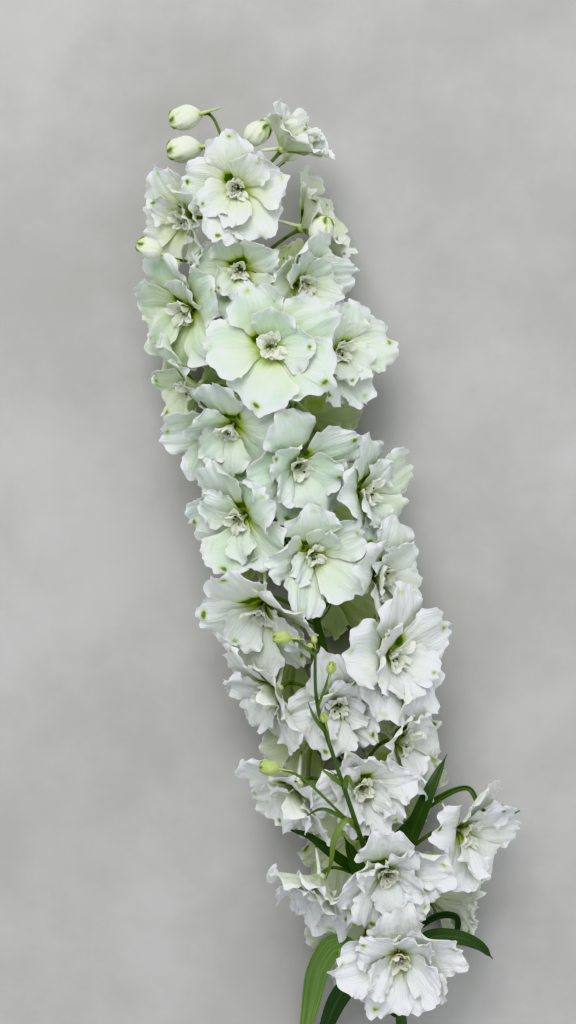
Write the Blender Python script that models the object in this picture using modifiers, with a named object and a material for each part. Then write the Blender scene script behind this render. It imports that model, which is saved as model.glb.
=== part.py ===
"""A cut white delphinium spike lying on its side on a surface.

Metres, +Z up. +Y runs from the cut end to the tip, and the face that looks up is the spike's best side.
Lengths below are in millimetres and are turned into metres where a mesh is made.
"""
import math

import bmesh
import bpy
import numpy as np
from mathutils import Matrix, Vector
from mathutils.bvhtree import BVHTree

MM = 0.001
GAP = 0.3                 # clearance where a separate piece meets the stem
BLADE = 0.7               # thickness of every petal and leaf

# Main stem: its centre line from the cut end, which touches the surface, to the tip
STEM_ROUTE = (
    (64, -378, 3.5), (62, -332, 10), (60, -290, 21), (56, -244, 33), (48, -194, 38), (36, -144, 39),
    (24, -94, 38), (12, -44, 38), (2, 6, 37), (-8, 56, 37), (-15, 106, 36), (-22, 150, 36),
    (-26, 172, 37), (-34, 190, 37),
)
STEM_RADIUS_CUT = 3.2
STEM_RADIUS_TIP = 0.8
STEM_RINGS = 20

# Side shoot: rises from the main stem over the lower florets and carries small green buds
SHOOT_ROUTE = (
    (46, -186, 38), (39, -170, 62), (31, -145, 84), (22, -118, 90), (14, -92, 90), (13, -64, 87),
)
SHOOT_RADIUS_ROOT = 1.5
SHOOT_RADIUS_TIP = 0.7
SHOOT_RINGS = 9

# A floret's pedicel leaves the stem below the floret, at a slant
PEDICEL_RADIUS = 0.85
PEDICEL_RISE = 13
PEDICEL_POINTS = 3
BRACT_LENGTH = 12
BRACT_RADIUS = 1.1
BRACT_BELOW = 4           # a bract grows this far below the root of its pedicel

# One open floret: five sepals round a cup, a bee of four small petals, and a spur behind
SEPALS = 5
SEPAL_LENGTH = 30
SEPAL_HALF_WIDTH = 12.6
SEPAL_WIDEST = 0.56       # how far out the sepal is widest
SEPAL_START_DEG = 46      # slant of a sepal at its root, from the floret's axis
SEPAL_TWIST = 0.17        # each sepal has one edge over its neighbour and one edge under
CUP_RADIUS = 2.8
CUP_DEPTH = 2.8
SEAT_RADIUS = 1.9
STAMEN_RADIUS = 1.3
STAMEN_TOP = 9.5
CUP_ROLL_DEG = 18         # turns a facet of the cup to each sepal
BEE_LENGTH = 11
BEE_HALF_WIDTH = 4.4
BEE_ANGLES_DEG = (0, 180)
BEE_END_DEG = (16, 66)
SPUR_LENGTH = 15
SPUR_RADIUS = 1.25
OPEN_DIAMETER = 52        # across a floret whose size is 1

# Where the surface presses the underside florets flat
PRESS_FLOOR = 0.42
PRESS_SOFTNESS = 1.0
SEAT_BAND = 0.66          # blade undersides this low are pressed onto the surface

# Front florets, placed by eye from the picture: distance from the cut end along Y, turn of the pedicel
# and of the face round the stem from straight up (positive to +X), reach from the stem, nod towards
# the cut end, all in mm and degrees, then size and how far the sepals open in degrees
FRONT_FLORETS = (
    (162, 8, -6, 22, 14, 1.04, 92),
    (206, -48, -42, 30, 40, 0.92, 72),
    (210, 62, 34, 36, 18, 1.04, 94),
    (218, 14, 6, 25, 24, 0.92, 84),
    (248, -52, -44, 30, 20, 0.98, 86),
    (256, 50, 34, 27, 10, 1.02, 92),
    (296, 44, 22, 31, 12, 1.14, 94),
    (292, -34, -32, 27, 22, 1.04, 90),
    (344, -34, -16, 29, 32, 1.18, 86),
    (334, 66, 44, 31, 12, 1.00, 90),
    (381, 74, 48, 33, 10, 1.04, 90),
    (385, -56, -38, 27, 12, 1.00, 90),
    (401, 12, 12, 24, 26, 1.04, 90),
    (425, -48, -20, 33, 14, 1.10, 92),
    (455, 4, 6, 25, 10, 1.12, 92),
    (458, 74, 32, 33, 4, 0.96, 86),
    (447, -82, -60, 34, 10, 0.96, 88),
    (485, -62, -24, 32, 10, 1.06, 94),
    (496, 34, 24, 27, 12, 0.94, 86),
    (531, 14, 10, 21, 4, 0.92, 84),
    (527, -66, -44, 26, 4, 0.90, 84),
    (518, 82, 54, 29, -4, 0.90, 70),
    (550, 50, 46, 17, -44, 0.84, 58),
    (352, 6, 2, 17, 18, 0.86, 80),
    (286, 6, 4, 16, 16, 0.88, 80),
    (244, 14, 12, 17, 14, 0.88, 80),
    (505, -10, -8, 15, 8, 0.78, 74),
)

# The rest follow a spiral up the stem and fill what the front florets leave open
SPIRAL_COUNT = 110
SPIRAL_TURN_DEG = 137.5
SPIRAL_PHASE_DEG = 205
SPIRAL_FROM = 170
SPIRAL_TO = 528
SPIRAL_REACH = 22
SPIRAL_SPACING = 36
FLORET_LIMIT = 41
FACE_RADIUS = 33          # how far from the stem a floret's face lies
CROWDED = 44              # florets closer than this round the stem push one another apart
FLORET_RANGE = (162, 550)
PUSH_STEPS = 60
PUSH_SHARE = 0.12
PUSH_SHARE_FRONT = 0.04   # front florets keep nearer to where they were placed
TURN_UP_DEG = 16          # florets at the sides turn this much away from the surface
TAPER_SHARE = 0.1        # florets near the tip are smaller by up to this share

# Small random differences, drawn with fixed seeds
TRIES = 140
TEST_SHELL = 0.75         # half thickness of the sheets that the clearance test compares
STALK_MARGIN = 0.45       # and what it adds to a stalk's radius
END_TRIM = 0.6            # a pedicel is tested up to this far from its floret

# Buds: seat on its stalk, pointing direction, length, and where the stalk leaves the stem, as distance
# from the cut end. The first stalk carries on from the end of the stem.
BUDS = (
    ((-42.5, 201.5, 37), (-1.0, -0.22, 0.05), 18, 562),
    ((-23, 186, 40), (0.72, 0.42, 0.34), 17, 548),
    ((-42, 183, 46), (-1.0, -0.12, 0.10), 19, 545),
    ((13, 132, 52), (0.36, 0.80, 0.34), 17, 488),
    ((-62, 128, 54), (-0.82, 0.36, 0.35), 15, 492),
    ((-2, 178, 34), (0.62, 0.70, -0.12), 13, 538),
)
BUD_STALK_RADIUS = 0.75
BUD_STALK_POINTS = 4
BUD_SIDES = 7
SHOOT_BUD_SIDES = 5

# Small green buds of the side shoot, grown as one with it: seat, direction, length, and where the stalk
# leaves the shoot, as a share of its length
SHOOT_BUDS = (
    ((2.5, -61, 88), (-0.97, 0.05, 0.1), 10, 0.97),
    ((20, -78, 95), (0.15, 0.72, 0.4), 7, 0.8),
    ((18, -101, 97), (-0.2, 0.7, 0.5), 6, 0.66),
    ((-3, -124, 88), (-0.95, 0.12, 0.1), 11, 0.36),
)
SHOOT_BUD_SINK = 2        # how deep their stalks run into them

# Leaves: distance of the root from the cut end, its turn round the stem from straight up, the midrib's
# route from there to the tip, and the leaf's width
LEAVES = (
    (134, -75, ((40, -229, 42), (25, -218, 42), (15.5, -232, 31), (11, -256, 15), (6, -288, 2.2)), 12),
    (122, -60, ((43, -242, 37), (34, -237, 34), (26, -249, 23), (20, -266, 11), (13, -290, 2.2)), 10),
    (149, 70, ((70, -214, 46), (85, -214, 43), (97, -220, 33), (105, -229, 22)), 8),
    (158, 105, ((74, -206, 33), (86, -207, 29), (85, -221, 20), (79, -234, 9)), 6.5),
    (188, 45, ((60, -166, 45), (71, -140, 47), (80, -122, 42)), 8.5),
    (204, 105, ((68, -152, 30), (90, -140, 31), (98, -150, 34), (107, -156, 33), (118, -152, 31)), 5),
    (190, -40, ((27, -174, 51), (11, -162, 52), (-1, -159, 46)), 5.5),
    (166, -10, ((44, -198, 48), (36, -180, 51), (28, -162, 52)), 10),
)

COLOURS = {
    "petal": (0.86, 0.89, 0.84, 0.55, 0.0),
    "bud": (0.66, 0.76, 0.48, 0.5, 0.0),
    "stem": (0.16, 0.30, 0.08, 0.55, 0.0),
    "leaf": (0.05, 0.16, 0.04, 0.5, 0.0),
}


def clear_scene():
    for obj in list(bpy.data.objects):
        bpy.data.objects.remove(obj, do_unlink=True)


def collection(name):
    made = bpy.data.collections.new(name)
    bpy.context.scene.collection.children.link(made)
    return made


def material(name):
    red, green, blue, roughness, metallic = COLOURS[name]
    made = bpy.data.materials.new(name)
    made.use_nodes = True
    shader = made.node_tree.nodes["Principled BSDF"]
    shader.inputs["Base Color"].default_value = (red, green, blue, 1)
    shader.inputs["Roughness"].default_value = roughness
    shader.inputs["Metallic"].default_value = metallic
    made.diffuse_color = (red, green, blue, 1)
    return made


def unit(vector):
    return vector / np.linalg.norm(vector)


def smooth_route(points, count):
    """Points evenly spaced along a Catmull-Rom curve through the given points."""
    points = np.array(points, float)
    ends = np.vstack([2 * points[0] - points[1], points, 2 * points[-1] - points[-2]])
    share = np.linspace(0, 1, 16, endpoint=False)[:, None]
    dense = []
    for p0, p1, p2, p3 in zip(ends, ends[1:], ends[2:], ends[3:]):
        dense.append(0.5 * (2 * p1 + (p2 - p0) * share + (2 * p0 - 5 * p1 + 4 * p2 - p3) * share ** 2
                            + (3 * p1 - p0 - 3 * p2 + p3) * share ** 3))
    dense = np.vstack(dense + [points[-1:]])
    lengths = np.concatenate([[0], np.cumsum(np.linalg.norm(np.diff(dense, axis=0), axis=1))])
    wanted = np.linspace(0, lengths[-1], count)
    return np.stack([np.interp(wanted, lengths, dense[:, axis]) for axis in range(3)], axis=1)


STEM_LINE = smooth_route(STEM_ROUTE, 400)


def stem_at(along):
    """Centre, direction, upward and sideways unit vectors of the stem, by distance from the cut end along Y."""
    y = STEM_ROUTE[0][1] + along
    centre = np.array([np.interp(y, STEM_LINE[:, 1], STEM_LINE[:, axis]) for axis in range(3)])
    ahead = np.array([np.interp(y + 4, STEM_LINE[:, 1], STEM_LINE[:, axis]) for axis in range(3)])
    behind = np.array([np.interp(y - 4, STEM_LINE[:, 1], STEM_LINE[:, axis]) for axis in range(3)])
    direction = unit(ahead - behind)
    up = unit(np.array([0, 0, 1]) - direction[2] * direction)
    return centre, direction, up, np.cross(direction, up)


def stem_radius(share):
    return STEM_RADIUS_CUT + (STEM_RADIUS_TIP - STEM_RADIUS_CUT) * share ** 1.15


def press(points):
    """Points that would sink into the surface are pressed flat above it, smoothly."""
    height = (points[..., 2] - PRESS_FLOOR) / PRESS_SOFTNESS
    pressed = points.copy()
    pressed[..., 2] = PRESS_FLOOR + PRESS_SOFTNESS * np.logaddexp(0, height)
    return pressed


def round_stem(rows):
    """Florets' places on the cylinder of their faces: distance along it and round it."""
    return np.array([(row[0], math.radians(row[1]) * FACE_RADIUS) for row in rows])


def apart(places, others):
    """Vectors and distances between all pairs of places on the cylinder, the short way round."""
    between = places[:, None] - others[None]
    turn = 2 * math.pi * FACE_RADIUS
    between[..., 1] -= turn * np.round(between[..., 1] / turn)
    return between, np.linalg.norm(between, axis=-1)


def floret_list():
    """Every floret's nominal place: along, pedicel turn, face turn, reach, nod, size, opening."""
    rows = [list(row) for row in FRONT_FLORETS]
    for number in range(SPIRAL_COUNT):
        share = number / (SPIRAL_COUNT - 1)
        along = SPIRAL_FROM + (SPIRAL_TO - SPIRAL_FROM) * share
        turn = (SPIRAL_PHASE_DEG + SPIRAL_TURN_DEG * number + 180) % 360 - 180
        row = [along, turn, turn, SPIRAL_REACH, 10, 1 - TAPER_SHARE * share, 90 - 8 * share]
        if apart(round_stem([row]), round_stem(rows))[1].min() > SPIRAL_SPACING:
            rows.append(row)
    rows = rows[:FLORET_LIMIT]
    places = round_stem(rows)
    shares = np.where(np.arange(len(rows)) < len(FRONT_FLORETS), PUSH_SHARE_FRONT, PUSH_SHARE)
    for _ in range(PUSH_STEPS):
        between, distance = apart(places, places)
        push = np.clip(CROWDED - distance, 0, None) / np.maximum(distance, 1)
        places += shares[:, None] * (push[..., None] * between).sum(axis=1)
        places[:, 0] = np.clip(places[:, 0], *FLORET_RANGE)
    for number, (row, (along, around)) in enumerate(zip(rows, places)):
        turn = math.degrees(around / FACE_RADIUS)
        row[2] += turn - row[1]
        row[0], row[1] = along, turn
        if number >= len(FRONT_FLORETS):
            row[2] -= TURN_UP_DEG * math.sin(math.radians(turn))
    return rows


def floret_frame(row):
    """Seat of the floret and its axes: sideways, towards the spike's tip, and facing."""
    along, turn, face_turn, reach, nod = row[:5]
    centre, direction, up, side = stem_at(along)
    turn, face_turn, nod = math.radians(turn), math.radians(face_turn), math.radians(nod)
    seat = centre + reach * (up * math.cos(turn) + side * math.sin(turn))
    facing = up * math.cos(face_turn) + side * math.sin(face_turn)
    facing = facing * math.cos(nod) - direction * math.sin(nod)
    tipward = unit(direction - direction.dot(facing) * facing)
    return seat, np.stack([np.cross(tipward, facing), tipward, facing])


def varied(row, index, attempt):
    """The row's place with a seeded change that grows from one attempt to the next, and a roll.

    Reach and nod grow soonest, so a crowded floret first slips under or over its neighbours.
    """
    draw = np.random.default_rng([index, attempt]).uniform(-1, 1, 7)
    grow = attempt / TRIES
    along, turn, face_turn, reach, nod, size, opening = row
    soon = min(1, 3 * grow)
    return (
        along + 12 * grow * draw[0],
        turn + 26 * grow * draw[1],
        face_turn + 36 * grow * draw[2],
        reach + 11 * soon * draw[3],
        nod + 26 * soon * draw[4],
        size * (1 - 0.18 * grow),
        opening - 26 * grow * abs(draw[5]),
        (8 + 28 * grow) * draw[6],
    )


def sepal_surface(a, v, length, half_width, start, end, cup, bend, twist):
    """Points of a sepal in the floret's own axes, on its centre line (a from 0 to 1) and across it (v from -1 to 1).

    Up to its widest the sepal widens from a point at its root. Beyond that the square of a and v is mapped to a
    half disc, so the tip is round. The centre line is an arc that turns from the start slant to the end
    slant. The blade is cupped across by v squared, twisted so that one edge is higher than the other, and
    bent sideways by the square of the distance.
    """
    outer = np.clip(2 * a - 1, 0, 1)
    inner = np.clip(2 * a, 0, 1)
    across = v * half_width * inner ** 1.2 * np.sqrt(1 - outer ** 2 / 2)
    out = SEPAL_WIDEST * inner + (1 - SEPAL_WIDEST) * outer * np.sqrt(1 - v ** 2 / 2)
    slant = start + (end - start) * out
    radius = length * (math.cos(start) - np.cos(slant)) / (end - start)
    forward = length * (np.sin(slant) - math.sin(start)) / (end - start)
    lift = cup * v ** 2 * inner ** 2 + twist * across
    return np.stack([across + bend * out ** 2,
                     radius - lift * np.cos(slant),
                     forward + lift * np.sin(slant)], axis=-1)


def floret_blades(index, size, opening):
    """One (angle, root, arguments of sepal_surface) for each sepal, then for each bee petal."""
    draw = np.random.default_rng([900, index]).uniform(-1, 1, (SEPALS + len(BEE_ANGLES_DEG), 5))
    twist = SEPAL_TWIST if index % 2 else -SEPAL_TWIST
    blades = []
    for number in range(SEPALS):
        stretch, widen, lean, cup, bend = draw[number]
        blades.append((
            math.radians(360 / SEPALS * number + 3 * lean),
            (0.9, 1.1),
            dict(length=SEPAL_LENGTH * size * (1 + 0.1 * stretch),
                 half_width=SEPAL_HALF_WIDTH * size * (1 + 0.1 * widen),
                 start=math.radians(SEPAL_START_DEG),
                 end=math.radians(opening + 14 * lean),
                 cup=1.4 + 2.2 * cup,
                 bend=3 * bend,
                 twist=twist),
        ))
    for number, angle in enumerate(BEE_ANGLES_DEG):
        stretch, widen, lean, cup, bend = draw[SEPALS + number]
        blades.append((
            math.radians(angle),
            (0.7, 4.2),
            dict(length=BEE_LENGTH * size * (1 + 0.1 * stretch),
                 half_width=BEE_HALF_WIDTH * size * (1 + 0.1 * widen),
                 start=math.radians(20),
                 end=math.radians(BEE_END_DEG[number] + 8 * lean),
                 cup=0.0,
                 bend=0.5 * bend,
                 twist=0.0),
        ))
    return blades


def blade_points(a, v, blade, seat, axes):
    """Points of a blade in the world, pressed above the surface."""
    angle, (root_out, root_up), arguments = blade
    local = sepal_surface(a, v, **arguments)
    local[..., 1] += root_out
    local[..., 2] += root_up
    turned = np.stack([local[..., 0] * math.cos(angle) + local[..., 1] * math.sin(angle),
                       local[..., 1] * math.cos(angle) - local[..., 0] * math.sin(angle),
                       local[..., 2]], axis=-1)
    return press(seat + turned @ axes)


def rolled(axes, degrees):
    roll = math.radians(degrees)
    side, tipward, facing = axes
    return np.stack([side * math.cos(roll) - tipward * math.sin(roll),
                     tipward * math.cos(roll) + side * math.sin(roll), facing])


def spur_line(seat, axes, size):
    """The spur runs back from the cup, beside the upper sepal, and curves towards the tip."""
    steps = np.linspace(0, 1, 3)[:, None]
    back = 1.6 - SPUR_LENGTH * size * 0.86 * steps
    up = 1.4 + SPUR_LENGTH * size * (0.42 * steps + 0.26 * steps ** 2)
    return press(seat + up * axes[1] + back * axes[2])


def pedicel_line(row, seat, axes):
    """The stalk rises from the stem at a slant and comes to the floret's seat from behind."""
    root = stem_at(row[0] - PEDICEL_RISE)[0]
    return stalk_line(root, unit(seat - root), seat, axes[2], PEDICEL_RADIUS, PEDICEL_POINTS)


def sheet_triangles(points):
    """The two faces of a grid of points, half the test thickness away on either side."""
    rows, columns = points.shape[:2]
    normal = np.cross(np.gradient(points, axis=0), np.gradient(points, axis=1))
    normal /= np.maximum(np.linalg.norm(normal, axis=-1, keepdims=True), 1e-9)
    found = []
    for side in (-TEST_SHELL, TEST_SHELL):
        shifted = points + side * normal
        corners = [shifted[:-1, :-1], shifted[1:, :-1], shifted[1:, 1:], shifted[:-1, 1:]]
        corners = [corner.reshape(-1, 3) for corner in corners]
        found += [np.stack([corners[0], corners[1], corners[2]], axis=1),
                  np.stack([corners[0], corners[2], corners[3]], axis=1)]
    return np.concatenate(found)


def tube_triangles(line, radii, sides=6):
    """A tube round a line of points, open at the ends."""
    tangent = np.gradient(line, axis=0)
    tangent /= np.linalg.norm(tangent, axis=1, keepdims=True)
    side = np.cross(tangent, [0.31, 0.21, 0.93])
    side /= np.linalg.norm(side, axis=1, keepdims=True)
    other = np.cross(tangent, side)
    turn = np.linspace(0, 2 * math.pi, sides + 1)[None, :, None]
    ring = line[:, None] + np.reshape(radii, (-1, 1, 1)) * (np.cos(turn) * side[:, None] + np.sin(turn) * other[:, None])
    corners = [ring[:-1, :-1], ring[1:, :-1], ring[1:, 1:], ring[:-1, 1:]]
    corners = [corner.reshape(-1, 3) for corner in corners]
    return np.concatenate([np.stack([corners[0], corners[1], corners[2]], axis=1),
                           np.stack([corners[0], corners[2], corners[3]], axis=1)])


def tree_of(triangles):
    """A search tree of triangles, for the clearance test."""
    points = triangles.reshape(-1, 3)
    faces = np.arange(len(points)).reshape(-1, 3)
    return BVHTree.FromPolygons(points.tolist(), faces.tolist())


def coarse_grid(rows, columns):
    return np.meshgrid(np.linspace(0, 1, rows), np.linspace(-1, 1, columns), indexing="ij")


def floret_tests(row, index):
    """Search trees of a floret's white body and of its green stalk."""
    size, opening, roll = row[5:]
    seat, axes = floret_frame(row)
    axes = rolled(axes, roll)
    white = []
    for number, blade in enumerate(floret_blades(index, size, opening)):
        a, v = coarse_grid(3, 3)
        white.append(sheet_triangles(blade_points(a, v, blade, seat, axes)))
    cup = np.array([seat + axes[2] * height for height in (0.2, CUP_DEPTH, STAMEN_TOP)])
    white.append(tube_triangles(cup, (SEAT_RADIUS + 0.4, CUP_RADIUS + 0.4, 1.6)))
    white.append(tube_triangles(spur_line(seat, axes, size), np.linspace(SPUR_RADIUS + 0.3, 0.7, 3)))
    stalk = pedicel_line(row, seat, axes)
    stalk[-1] += END_TRIM * unit(stalk[-2] - stalk[-1])
    green = tube_triangles(stalk, np.full(PEDICEL_POINTS, PEDICEL_RADIUS + STALK_MARGIN), sides=4)
    return tree_of(np.concatenate(white)), tree_of(green)


def place_florets(green_trees, white_trees):
    """Each floret takes the first of its seeded tries that crosses nothing already placed."""
    placed = []
    for index, row in enumerate(floret_list()):
        for attempt in range(TRIES):
            tried = varied(row, index, attempt)
            white, green = floret_tests(tried, index)
            crosses = (any(white.overlap(other) for other in white_trees + green_trees)
                       or any(green.overlap(other) for other in white_trees)
                       or white.overlap(green))
            if not crosses:
                break
        else:
            print("left out floret", index)
            continue
        white_trees.append(white)
        green_trees.append(green)
        placed.append((index, attempt, tried))
    print("florets", len(placed), "tries", [attempt for _, attempt, _ in placed])
    return placed


def link(obj, group, slot):
    group.objects.link(obj)
    if not obj.data.materials:
        obj.data.materials.append(slot)
    return obj


def blade_object(name, rows, columns, place):
    """A thin blade: a grid whose points are placed by a function of (a, v), thickened by Solidify."""
    shape = bmesh.new()
    bmesh.ops.create_grid(shape, x_segments=columns - 1, y_segments=rows - 1, size=1)
    flat = np.array([vertex.co for vertex in shape.verts])
    placed = place((flat[:, 1] + 1) / 2, flat[:, 0]) * MM
    for vertex, point in zip(shape.verts, placed):
        vertex.co = point
    bmesh.ops.remove_doubles(shape, verts=shape.verts, dist=0.00001)
    bmesh.ops.triangulate(shape, faces=shape.faces)
    mesh = bpy.data.meshes.new(name)
    shape.to_mesh(mesh)
    shape.free()
    obj = bpy.data.objects.new(name, mesh)
    wall = obj.modifiers.new("Thickness", "SOLIDIFY")
    wall.thickness = BLADE * MM
    wall.offset = 0
    return obj


def tube_object(name, line, radii, resolution, group):
    """A round tube along a line, as a mesh with welded caps."""
    curve = bpy.data.curves.new(name, "CURVE")
    curve.dimensions = "3D"
    curve.bevel_depth = MM
    curve.bevel_resolution = resolution
    curve.use_fill_caps = True
    spline = curve.splines.new("POLY")
    spline.points.add(len(line) - 1)
    for point, centre, radius in zip(spline.points, line, radii):
        point.co = (*(centre * MM), 1)
        point.radius = radius
    guide = bpy.data.objects.new(name, curve)
    group.objects.link(guide)
    graph = bpy.context.evaluated_depsgraph_get()
    mesh = bpy.data.meshes.new_from_object(guide.evaluated_get(graph))
    shape = bmesh.new()
    shape.from_mesh(mesh)
    bmesh.ops.remove_doubles(shape, verts=shape.verts, dist=0.00001)
    bmesh.ops.recalc_face_normals(shape, faces=shape.faces)
    shape.to_mesh(mesh)
    shape.free()
    bpy.data.objects.remove(guide)
    obj = bpy.data.objects.new(name, mesh)
    group.objects.link(obj)
    return obj


def turned_object(name, profile, sides, seat, axes):
    """A turned shape: a profile of (radius, height) pairs carried round its axis by Screw."""
    mesh = bpy.data.meshes.new(name)
    points = [(radius * MM, 0, height * MM) for radius, height in profile]
    mesh.from_pydata(points, [(n, n + 1) for n in range(len(points) - 1)], [])
    obj = bpy.data.objects.new(name, mesh)
    side, tipward, facing = (Vector(axis) for axis in axes)
    turn = Matrix((side, tipward, facing)).transposed().to_4x4()
    obj.matrix_world = Matrix.Translation(Vector(seat) * MM) @ turn
    screw = obj.modifiers.new("Turn", "SCREW")
    screw.steps = screw.render_steps = sides
    screw.use_merge_vertices = True
    screw.merge_threshold = 0.00001
    screw.use_normal_calculate = True
    return obj


def fused(name, body, pieces, group, slot):
    """The body and its pieces joined by one Boolean union, as a new object in world coordinates."""
    loose = collection(name + "_pieces")
    for piece in pieces:
        for owner in list(piece.users_collection):
            owner.objects.unlink(piece)
        loose.objects.link(piece)
    if not body.users_collection:
        group.objects.link(body)
    union = body.modifiers.new("Union", "BOOLEAN")
    union.operation = "UNION"
    union.operand_type = "COLLECTION"
    union.collection = loose
    union.solver = "MANIFOLD"    # EXACT leaves scraps where a blade only grazes the cup
    bpy.context.view_layer.update()
    evaluated = body.evaluated_get(bpy.context.evaluated_depsgraph_get())
    mesh = bpy.data.meshes.new_from_object(evaluated)
    mesh.transform(body.matrix_world)
    mesh.materials.clear()
    mesh.materials.append(slot)
    for piece in [*pieces, body]:
        bpy.data.objects.remove(piece)
    bpy.data.collections.remove(loose)
    obj = bpy.data.objects.new(name, mesh)
    group.objects.link(obj)
    return obj


def make_floret(name, index, row, group, slot):
    """Sepals, bee petals and spur, their roots sunk in the cup."""
    size, opening, roll = row[5:]
    seat, axes = floret_frame(row)
    axes = rolled(axes, roll)
    profile = ((0, STAMEN_TOP), (STAMEN_RADIUS, STAMEN_TOP), (CUP_RADIUS, CUP_DEPTH), (SEAT_RADIUS, 0), (0, 0))
    cup = turned_object(name + "_cup", profile, SEPALS, seat, rolled(axes, CUP_ROLL_DEG))
    pieces = []
    for number, blade in enumerate(floret_blades(index, size, opening)):
        rows, columns = (3, 3) if number < SEPALS else (2, 2)
        pieces.append(blade_object(f"{name}_blade_{number}", rows, columns,
                                   lambda a, v: blade_points(a, v, blade, seat, axes)))
    pieces.append(tube_object(name + "_spur", spur_line(seat, axes, size),
                              np.linspace(SPUR_RADIUS, 0.5, 3), 0, group))
    return fused(name, cup, pieces, group, slot)


def bud_axes(direction):
    facing = unit(np.array(direction, float))
    side = unit(np.cross([0, 0, 1], facing))
    return np.stack([side, np.cross(facing, side), facing])


def bud_profile(length):
    """Radius and height of an egg-shaped bud, from its tip to its seat."""
    half = 0.35 * length
    return ((0, length), (0.42 * half, 0.95 * length), (0.86 * half, 0.74 * length), (half, 0.45 * length),
            (0.72 * half, 0.14 * length), (0.9, 0), (0, 0))


def bud_spur_line(seat, axes, length):
    """A bud's short spur is laid back over its stalk."""
    steps = np.linspace(0, 1, 3)[:, None]
    root = seat + (axes[2] * 0.16 + axes[1] * 0.14) * length
    return root - axes[2] * 0.62 * length * steps + axes[1] * (0.12 + 0.16 * steps) * length * steps


def bud_pieces(name, seat, direction, length, group):
    """An egg-shaped bud and its spur."""
    axes = bud_axes(direction)
    seat = np.array(seat, float)
    body = turned_object(name + "_body", bud_profile(length), BUD_SIDES, seat, axes)
    spur = bud_spur_line(seat, axes, length)
    return body, tube_object(name + "_spur", spur, np.linspace(0.09, 0.04, 3) * length, 0, group)


def bud_test(seat, direction, length):
    """Search tree of a bud and its spur."""
    axes = bud_axes(direction)
    seat = np.array(seat, float)
    shares = np.array((-0.1, 0.2, 0.5, 0.8, 1.0))
    body = tube_triangles(seat + axes[2] * length * shares[:, None], np.array((0.14, 0.34, 0.38, 0.32, 0.14)) * length)
    spur = tube_triangles(bud_spur_line(seat, axes, length), np.full(3, 0.12 * length))
    return tree_of(np.concatenate([body, spur]))


def stalk_line(root, rising, seat, facing, radius, count):
    """A curve that leaves its root in one direction and stops just behind a seat, coming from behind it."""
    share = np.linspace(0, 1, count)[:, None]
    reach = np.linalg.norm(seat - root)
    handle = root + rising * reach * 0.4
    last = seat - facing * reach * 0.3
    line = ((1 - share) ** 3 * root + 3 * share * (1 - share) ** 2 * handle
            + 3 * share ** 2 * (1 - share) * last + share ** 3 * seat)
    tilt = np.linalg.norm(np.cross(unit(line[-1] - line[-2]), facing))
    line[-1] -= facing * (GAP + radius * tilt)
    return line


def bud_stalks():
    """Centre lines of the stalks of all buds, on the stem and on the side shoot."""
    lines = []
    for seat, direction, _, root_along in BUDS:
        root, along_stem = stem_at(root_along)[:2]
        seat = np.array(seat, float)
        rising = unit(unit(seat - root) + along_stem)
        lines.append(stalk_line(root, rising, seat, unit(np.array(direction)), BUD_STALK_RADIUS, BUD_STALK_POINTS))
    shoot = smooth_route(SHOOT_ROUTE, 60)
    for seat, direction, _, share in SHOOT_BUDS:
        root = shoot[round(share * 59)]
        facing = unit(np.array(direction))
        inside = np.array(seat, float) + SHOOT_BUD_SINK * facing
        lines.append(stalk_line(root, unit(inside - root), inside, facing, BUD_STALK_RADIUS, BUD_STALK_POINTS))
    return lines


def leaf_route(along, turn, route):
    """The midrib's points, from its root just off the stem's surface."""
    centre, _, up, side = stem_at(along)
    turn = math.radians(turn)
    radius = stem_radius(along / (STEM_ROUTE[-1][1] - STEM_ROUTE[0][1]))
    return [centre + (radius + GAP) * (up * math.cos(turn) + side * math.sin(turn)), *route]


def leaf_surface(a, v, along, turn, route, width):
    """Points of a leaf: a line through its route, widened across and folded a little along the midrib."""
    line = smooth_route(leaf_route(along, turn, route), 120)
    centre = np.stack([np.interp(a, np.linspace(0, 1, 120), line[:, axis]) for axis in range(3)], axis=-1)
    tangent = np.gradient(line, axis=0)
    tangent /= np.linalg.norm(tangent, axis=1, keepdims=True)
    across = np.cross(tangent, [0, 0, 1])
    across /= np.linalg.norm(across, axis=1, keepdims=True)
    normal = np.cross(across, tangent)
    spread = [np.stack([np.interp(a, np.linspace(0, 1, 120), part[:, axis]) for axis in range(3)], axis=-1)
              for part in (across, normal)]
    profile = 0.16 + 0.84 * np.sin(math.pi * np.clip(a, 0, 1) ** 0.8) ** 0.75
    profile = np.where(a > 0.98, 0.12, profile)
    offset = v * width / 2 * profile
    fold = 0.22 * np.abs(offset)
    return press(centre + offset[..., None] * spread[0] + fold[..., None] * spread[1])


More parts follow.
